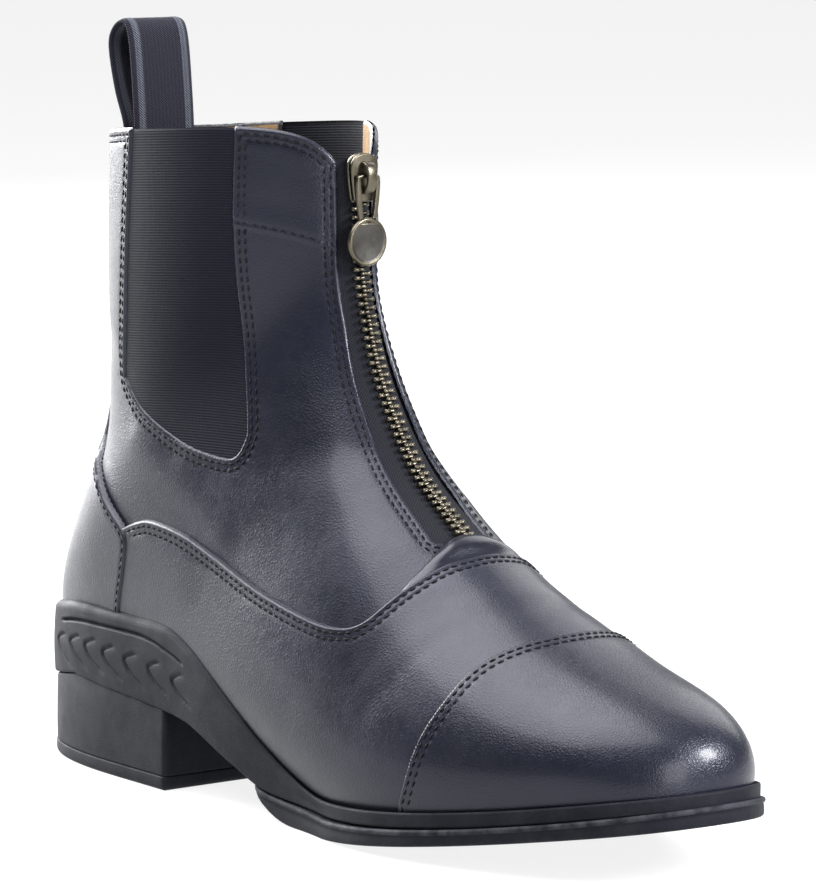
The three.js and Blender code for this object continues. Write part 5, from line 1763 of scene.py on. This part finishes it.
class BOOT_OT_loop(bpy.types.Operator):
    """Build the webbing pull loop with its pale edge stripes"""
    bl_idname = "boot.loop"
    bl_label = "Pull loop"

    def execute(self, context):
        route = [
            [0, -LOOP_TUCK], [0, -LOOP_TUCK * 0.4], [0, LOOP_RISE * 0.06], [-LOOP_LEAN * 0.6, LOOP_RISE * 0.4],
            [-LOOP_LEAN, LOOP_RISE * 0.78], [-LOOP_LEAN * 0.7, LOOP_RISE * 0.95], [-LOOP_LEAN * 0.1, LOOP_RISE],
            [LOOP_SPREAD * 0.4, LOOP_RISE * 0.85], [LOOP_SPREAD * 0.8, LOOP_RISE * 0.4], [LOOP_SPREAD, 0],
            [LOOP_SPREAD * 0.75, -LOOP_TUCK * 0.35], [WEBBING, -LOOP_TUCK * 0.75], [WEBBING, -LOOP_TUCK],
        ]
        line = catmull(route, 12)
        line[:, 0] -= line[:, 0].min() - WEBBING / 2
        line[:, 0] += LOOP_BACK
        line[:, 1] += COLLAR_BACK
        run = lengths_of(line)
        at = np.arange(0, run[-1], 0.8)
        line = np.column_stack([np.interp(at, run, line[:, 0]), np.interp(at, run, line[:, 1])])
        path = np.column_stack([line[:, 0], np.full(len(line), BACK_SEAM + LOOP_ASIDE), line[:, 1]])
        ahead = np.gradient(path, axis=0)
        ahead /= np.linalg.norm(ahead, axis=1, keepdims=True)
        side = np.array([0.0, 1.0, 0.0])
        out = np.cross(side, ahead)
        half, thick = LOOP_WIDTH / 2, WEBBING / 2
        across = np.linspace(-1, 1, 33)
        ring = [(a * half, thick * (1 - abs(a) ** 14 * 0.6) + 0.10 * (abs(abs(a) - 0.79) < 0.13)) for a in across]
        ring += [(-u, -v) for u, v in ring]
        points, flat = [], []
        for p, o, v in zip(path, out, at):
            for u, w in ring:
                points.append(p + side * u + o * w)
                flat.append((u, v))
        faces = tube_faces(len(path), len(ring))
        piece = add_piece("loop_webbing", np.array(points), faces, material_of("webbing"), flat=flat)
        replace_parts(piece, "pull_loop")
        return {"FINISHED"}


class BOOT_OT_badge(bpy.types.Operator):
    """Build the bare oval badge on its dark base"""
    bl_idname = "boot.badge"
    bl_label = "Badge"

    def execute(self, context):
        centre = COLLAR_BACK - 16.0
        skin = float(counter_top(np.array([0.0, 0.0, centre])))
        turn = np.arange(48) * 2 * math.pi / 48
        made = []
        for name, profile, finish in (
                ("badge_base", [(1.0, -0.9), (1.0, 1.1), (0.95, 1.4), (0.8, 1.45)], "rubber"),
                ("badge_oval", [(0.86, 1.1), (0.86, 2.4), (0.8, 2.75), (0.6, 2.9), (0.3, 2.95)], "steel")):
            rings = []
            for share, rise in profile + [(0.01, profile[-1][1] + 0.02)]:
                w = BACK_SEAM + BADGE_ASIDE + BADGE_HALF_WIDTH * share * np.cos(turn)
                q = column_places(math.pi, centre + BADGE_HALF_HEIGHT * share * np.sin(turn))
                rings.append(surface(q, angle_at_width(q, w, back=True), np.full(len(turn), skin + rise)))
            made.append(add_piece(name, np.vstack(rings), tube_faces(len(rings), len(turn)), material_of(finish)))
        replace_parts(made[1], "back_badge")
        return {"FINISHED"}


class BOOT_OT_insole(bpy.types.Operator):
    """Build the insole"""
    bl_idname = "boot.insole"
    bl_label = "Insole"

    def execute(self, context):
        keep = slice(0, None, 4)
        outer, inner = OUTER_SIDE[keep], INNER_SIDE[keep]
        rings = Rings(np.vstack([outer, inner[::-1]]))
        for inset, rise in ((-2.6, 0.4), (-2.4, 2.6), (-3.2, 3.2), (-6.0, 3.3)):
            rings.add(inset, feather_height(rings.loop[:, 0]) + rise)
        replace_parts(rings.piece("insole_board", "lining", ends="bridged"), "insole")
        return {"FINISHED"}


# Rows down the cup's wall: 1 is at the groove, where they are closest, and 2 at the wall's foot.
WALL_STEPS = np.concatenate([
    np.linspace(0, 0.66, 6)[1:], np.linspace(0.66, 1.0, 7)[1:], 1 + np.linspace(0, 0.1, 8)[1:],
    1 + np.linspace(0.1, 1.0, 34)[1:]])


class BOOT_OT_sole(bpy.types.Operator):
    """Build the moulded sole with its heel cup, shank and rand"""
    bl_idname = "boot.sole"
    bl_label = "Sole unit"

    def execute(self, context):
        rings = Rings(FEATHER_LOOP)
        ring, normal, forward = rings.add, rings.normal, rings.loop[:, 0]
        out = ledge(forward)
        top = feather_height(forward)
        low = under(forward)
        cup = 1 - smooth(forward, 95, 125)
        shank = smooth(forward, 60, 85) * (1 - smooth(forward, 130, 165))
        rim = out + 0.8 * shank
        lip = mix(0.7, 2.4, cup)
        ring(-3.0, top - 1.5)
        ring(1.0, top - 1.5)
        ring(np.minimum(2.1, rim - 1.0), top - 1.2)
        for turn in (110, 80, 50, 25, 0):
            a = math.radians(turn)
            reach = np.minimum(lip, (rim - 1.9) / 1.34) if turn > 90 else lip
            ring(rim - np.minimum(reach, 1.5 + cup) * (1 - math.cos(a)), top - lip * (1 - math.sin(a)) + 0.35 * cup)
        high = top - lip
        foot = low + 0.7
        share = np.interp(forward, GROOVE[:, 0], GROOVE[:, 1])
        groove_height = under_cup(forward) + share * HEEL_CUP_HEIGHT
        at_groove = np.clip((high - groove_height) / (high - foot), 0.05, 0.6)
        ends = smooth(-forward, -88.5, -85.5) * smooth(forward, 18.5, 21.5)
        for t in WALL_STEPS:
            place_down = np.where(t < 1, at_groove * t, at_groove + (1 - at_groove) * (t - 1))
            height = mix(high, foot, place_down)
            bulge = 0.35 * np.sin(math.pi * place_down) * cup + 0.8 * shank * (1 - smooth(place_down, 0, 0.7))
            sink = cup_relief(forward, height) * smooth(np.abs(normal[:, 1]), 0.1, 0.5) * cup
            groove = 1.35 * np.exp(-((height - groove_height) / 0.42) ** 2) * ends
            ring(out + bulge - np.maximum(sink, groove), height)
        # The rounded foot of the wall is marked 0.8: painted paler, as wear and painted highlight.
        for turn in (30, 60, 90):
            a = math.radians(turn)
            ring(out - 0.7 * (1 - math.cos(a)), foot - 0.7 * math.sin(a), 0.8)
        ring(out - 5.0, low)
        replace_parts(rings.piece("sole_moulding", "rubber", ends="bridged"), "sole_unit")
        return {"FINISHED"}


def clipped_loop(line, keep_low, limit, corner=1.6):
    """The feather outline on one side of a cross line, closed with a straight edge and rounded corners."""
    loop, normal = FEATHER_LOOP, FEATHER_NORMALS
    loop = loop + normal * line(loop[:, 0])[:, None]
    inside = loop[:, 0] <= limit if keep_low else loop[:, 0] >= limit
    start = int(np.argmax(inside & ~np.roll(inside, 1)))
    order = (np.arange(len(loop)) + start) % len(loop)
    arc = loop[order[inside[order]]]

    def end(a, b):
        t = (limit - a[0]) / (b[0] - a[0])
        return a + (b - a) * t

    before = loop[(start - 1) % len(loop)]
    after = loop[order[inside[order]][-1] + 1 - len(loop)]
    first, last = end(before, arc[0]), end(arc[-1], after)
    run = lengths_of(arc)
    arc = arc[(run > corner) & (run < run[-1] - corner)]
    arc = arc[::2]
    straight = last + (first - last) * np.linspace(0, 1, 40)[:, None]
    reach = lengths_of(straight)
    straight = straight[(reach > corner) & (reach < reach[-1] - corner)]

    def rounded(a, c, b):
        t = np.linspace(0, 1, 7)[1:-1, None]
        return (1 - t) ** 2 * a + 2 * t * (1 - t) * c + t ** 2 * b

    return np.vstack([arc, rounded(arc[-1], last, straight[0]), straight, rounded(straight[-1], first, arc[0])])


class BOOT_OT_outsole(bpy.types.Operator):
    """Build the forefoot outsole with its bead and cleated tread"""
    bl_idname = "boot.outsole"
    bl_label = "Outsole"

    def execute(self, context):
        start = 0.438 * BOOT_LENGTH
        loop = clipped_loop(lambda a: ledge(a) + 1.3 * smooth(a, start, start + 34), False, start + 0.4, corner=4.0)
        rings = Rings(loop)
        ring, forward = rings.add, loop[:, 0]
        top = under(forward) - GAP
        low = np.interp(forward, TREAD[:, 0], TREAD[:, 1])
        thick = np.maximum(top - low, 0.3)
        bead = np.minimum(0.8, thick * 0.3)
        ring(-6.0, top)
        ring(-1.9, top)
        ring(-1.5, top - 0.1)
        # The bead is marked 0.2: painted paler, as wear and painted highlight.
        for turn in (120, 90, 60, 30, 0, -30, -55):
            a = math.radians(turn)
            ring(bead * (math.cos(a) - 1) + 0.1, top - bead * (1 - math.sin(a)), 0.2)
        neck = top - bead * 1.95
        edge = np.minimum(0.9, thick * 0.3)
        ring(-0.45, neck)
        for t in (0.33, 0.66, 1.0):
            ring(-0.35 + 0.1 * t, mix(neck, low + edge, t))
        # The lower rim is marked 0.6: painted paler, as wear and painted highlight.
        for turn in (30, 60, 90):
            a = math.radians(turn)
            ring(-0.25 - edge * (1 - math.cos(a)), low + edge * (1 - math.sin(a)), 0.6)
        ring(-5.5, low)
        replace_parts(rings.piece("outsole_rubber", "rubber", ends="first"), "outsole")
        self.tread(rings.rings[-1])
        return {"FINISHED"}

    def tread(self, rim, columns=30):
        """Cleats across the underside, inside the rim."""
        forward = rim[:, 0]
        front, back = forward.max() - 0.3, forward.min() + 0.3
        rows = np.arange(back, front, 0.9)
        tail = int(np.argmin(forward))
        ring = np.roll(rim, -tail, axis=0)
        cut = int(np.argmax(ring[:, 0]))
        one, two = ring[:cut + 1], ring[cut:][::-1]
        two = np.vstack([two, [[0, two[0, 1], 0]]])
        two = two[np.argsort(two[:, 0])]
        points = []
        across = np.linspace(0, 1, columns)
        for a in rows:
            w = mix(np.interp(a, one[:, 0], one[:, 1]), np.interp(a, two[:, 0], two[:, 1]), across)
            z = np.interp(a, TREAD[:, 0], TREAD[:, 1])
            wave = np.abs(((a + 5 * np.cos(math.pi * (across - 0.5))) / 7.0) % 1 - 0.5) * 2
            depth = 1.1 * smooth(wave, 0.62, 0.86) * smooth(np.minimum(across, 1 - across), 0.0, 0.12)
            ends = smooth(min(a - back, front - a), 0, 4)
            points.append(np.column_stack([np.full(columns, a), w, z + depth * ends + 0.02]))
        add_piece("outsole_tread", np.vstack(points), grid_quads(len(rows), columns), material_of("rubber"))


class BOOT_OT_heel(bpy.types.Operator):
    """Build the heel block and its bottom lift"""
    bl_idname = "boot.heel"
    bl_label = "Heel"

    def execute(self, context):
        block = Rings(clipped_loop(lambda a: ledge(a) - 0.8, True, HEEL_LENGTH))
        forward = block.loop[:, 0]
        top = np.minimum(feather_height(forward) - HEEL_CUP_HEIGHT, under(forward)) - 0.05
        foot = HEEL_LIFT_THICKNESS + 0.2
        # Marks under 1 paint the block's top rim paler: wear and painted highlight.
        for inset, height, mark in (
                (-3.0, top, NO_EDGE_WEAR_OR_HIGHLIGHT), (-0.5, top, 0.8), (-0.12, top - 0.25, 0.6), (0.0, top - 0.7, NO_EDGE_WEAR_OR_HIGHLIGHT),
                (0.12, mix(top, foot, 0.35), NO_EDGE_WEAR_OR_HIGHLIGHT), (0.12, mix(top, foot, 0.7), NO_EDGE_WEAR_OR_HIGHLIGHT),
                (0.0, foot + 0.6, NO_EDGE_WEAR_OR_HIGHLIGHT), (-0.04, foot + 0.12, NO_EDGE_WEAR_OR_HIGHLIGHT), (-0.25, foot, NO_EDGE_WEAR_OR_HIGHLIGHT),
                (-3.0, foot, NO_EDGE_WEAR_OR_HIGHLIGHT)):
            block.add(inset, height, mark)
        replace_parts(block.piece("heel_rubber", "rubber"), "heel_block")
        lift = Rings(clipped_loop(lambda a: ledge(a) - 0.62, True, HEEL_LENGTH))
        top = HEEL_LIFT_THICKNESS
        # Marks under 1 paint the lift's lower rim paler: wear and painted highlight.
        for inset, height, mark in (
                (-3.0, top + 0.1, NO_EDGE_WEAR_OR_HIGHLIGHT), (-0.35, top + 0.1, NO_EDGE_WEAR_OR_HIGHLIGHT), (-0.12, top + 0.05, NO_EDGE_WEAR_OR_HIGHLIGHT),
                (-0.04, top - 0.1, NO_EDGE_WEAR_OR_HIGHLIGHT), (0.0, top - 0.5, NO_EDGE_WEAR_OR_HIGHLIGHT), (0.0, 1.6, NO_EDGE_WEAR_OR_HIGHLIGHT),
                (-0.12, 1.0, NO_EDGE_WEAR_OR_HIGHLIGHT), (-0.5, 0.45, 0.5), (-1.0, 0.1, 0.5), (-1.6, 0.0, NO_EDGE_WEAR_OR_HIGHLIGHT),
                (-5.0, 0.0, NO_EDGE_WEAR_OR_HIGHLIGHT)):
            lift.add(inset, height, mark)
        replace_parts(lift.piece("heel_lift_rubber", "rubber"), "heel_top_lift")
        return {"FINISHED"}


# The photograph's camera, fitted to the boot's outline
CAMERA_AZIMUTH = -40.7
CAMERA_ELEVATION = 7.4
CAMERA_ROLL = 0.69
CAMERA_DISTANCE = 1.530
CAMERA_TARGET = (-0.001417, -0.002071, 0.100)
FOCAL_PIXELS = 5535.0
IMAGE_HEIGHT = 886.0
SHIFT_PIXELS = (23.0, 11.0)
SENSOR = 36.0


def aim(obj, target):
    away = obj.location - Vector(target)
    obj.rotation_euler = away.to_track_quat("Z", "Y").to_euler()


class BOOT_OT_stage(bpy.types.Operator):
    """Set up the camera, the pale floor and the soft studio lights"""
    bl_idname = "boot.stage"
    bl_label = "Stage"

    def execute(self, context):
        studio = context.scene.paddock_boot_studio
        self.camera(context)
        self.floor(studio)
        for name, place_at, size, power in (
                ("left_softbox", (0.0, 1.5, 0.75), (1.3, 1.3), studio.key_power),
                ("right_softbox", (0.68, -1.34, 0.92), (0.36, 0.46), studio.side_power),
                ("back_softbox", (1.15, 0.35, 0.9), (0.7, 1.2), studio.side_power * 0.15),
                ("top_softbox", (-0.45, 0.22, 1.6), (1.7, 1.5), studio.top_power),
                ("front_softbox", (-0.30, -1.6, 0.5), (0.6, 0.9), studio.side_power * 0.29)):
            data = bpy.data.lights.new(name, "AREA")
            data.shape = "RECTANGLE"
            data.size, data.size_y = size
            data.energy = power
            light = bpy.data.objects.new(name, data)
            light.location = place_at
            aim(light, (0, 0, 0.09))
            context.scene.collection.objects.link(light)
        world = bpy.data.worlds.new("studio_air")
        world.use_nodes = True
        world.node_tree.nodes["Background"].inputs[0].default_value = (1, 1, 1, 1)
        world.node_tree.nodes["Background"].inputs[1].default_value = 0.14
        context.scene.world = world
        context.scene.view_settings.view_transform = "Standard"
        return {"FINISHED"}

    def camera(self, context):
        az, el, roll = (math.radians(v) for v in (CAMERA_AZIMUTH, CAMERA_ELEVATION, CAMERA_ROLL))
        look = Vector((-math.sin(az) * math.cos(el), math.cos(az) * math.cos(el), -math.sin(el)))
        right = look.cross(Vector((0, 0, 1))).normalized()
        high = right.cross(look)
        right, high = (right * math.cos(roll) + high * math.sin(roll), high * math.cos(roll) - right * math.sin(roll))
        data = bpy.data.cameras.new("photo_camera")
        data.sensor_width = SENSOR
        data.lens = FOCAL_PIXELS * SENSOR / IMAGE_HEIGHT
        data.shift_x = SHIFT_PIXELS[0] / IMAGE_HEIGHT
        data.shift_y = SHIFT_PIXELS[1] / IMAGE_HEIGHT
        data.clip_end = 50
        camera = bpy.data.objects.new("photo_camera", data)
        at = Vector(CAMERA_TARGET) - look * CAMERA_DISTANCE
        camera.matrix_world = Matrix((
            (right.x, high.x, -look.x, at.x), (right.y, high.y, -look.y, at.y), (right.z, high.z, -look.z, at.z),
            (0, 0, 0, 1)))
        context.scene.collection.objects.link(camera)
        context.scene.camera = camera

    def floor(self, studio):
        size = 6.0
        mesh = bpy.data.meshes.new("studio_floor")
        mesh.from_pydata([(-size, -size, 0), (size, -size, 0), (size, size, 0), (-size, size, 0)], [], [(0, 1, 2, 3)])
        floor = bpy.data.objects.new("studio_floor", mesh)
        bpy.context.scene.collection.objects.link(floor)
        material, tree, shader = new_material("studio_floor")
        noise = add_node(tree, "ShaderNodeTexNoise", {"Scale": 4.0, "Detail": 4.0})
        colour = tuple(studio.floor_colour)
        tree.links.new(tinted(tree, noise.outputs["Fac"], tuple(c * 0.985 for c in colour), colour),
                       shader.inputs["Base Color"])
        shader.inputs["Roughness"].default_value = 0.9
        shader.inputs["Specular IOR Level"].default_value = 0.1
        shader.inputs["Emission Color"].default_value = (1.0, 1.0, 1.0, 1.0)
        shader.inputs["Emission Strength"].default_value = studio.floor_glow
        mesh.materials.append(material)


OPERATORS = (
    BOOT_OT_stage, BOOT_OT_upper, BOOT_OT_overlays, BOOT_OT_tab, BOOT_OT_gores, BOOT_OT_stitches, BOOT_OT_zip,
    BOOT_OT_slider, BOOT_OT_pull, BOOT_OT_loop, BOOT_OT_badge, BOOT_OT_insole, BOOT_OT_sole, BOOT_OT_outsole,
    BOOT_OT_heel,
)


class BOOT_PT_pieces(bpy.types.Panel):
    """The boot's pieces and their values"""
    bl_label = "Paddock boot"
    bl_idname = "BOOT_PT_pieces"
    bl_space_type = "VIEW_3D"
    bl_region_type = "UI"
    bl_category = "Boot"

    def draw(self, context):
        for group in (context.scene.paddock_boot_look, context.scene.paddock_boot_studio):
            column = self.layout.column()
            for name in group.__annotations__:
                column.prop(group, name)
        for operator in OPERATORS:
            self.layout.operator(operator.bl_idname)


CLASSES = (BootLook, StudioLook) + OPERATORS + (BOOT_PT_pieces,)


def register():
    for cls in CLASSES:
        bpy.utils.register_class(cls)
    bpy.types.Scene.paddock_boot_look = PointerProperty(type=BootLook)
    bpy.types.Scene.paddock_boot_studio = PointerProperty(type=StudioLook)


def unregister():
    del bpy.types.Scene.paddock_boot_studio
    del bpy.types.Scene.paddock_boot_look
    for cls in reversed(CLASSES):
        bpy.utils.unregister_class(cls)


def main():
    register()
    for operator in OPERATORS:
        group, name = operator.bl_idname.split(".")
        getattr(getattr(bpy.ops, group), name)()


if __name__ == "__main__":
    main()
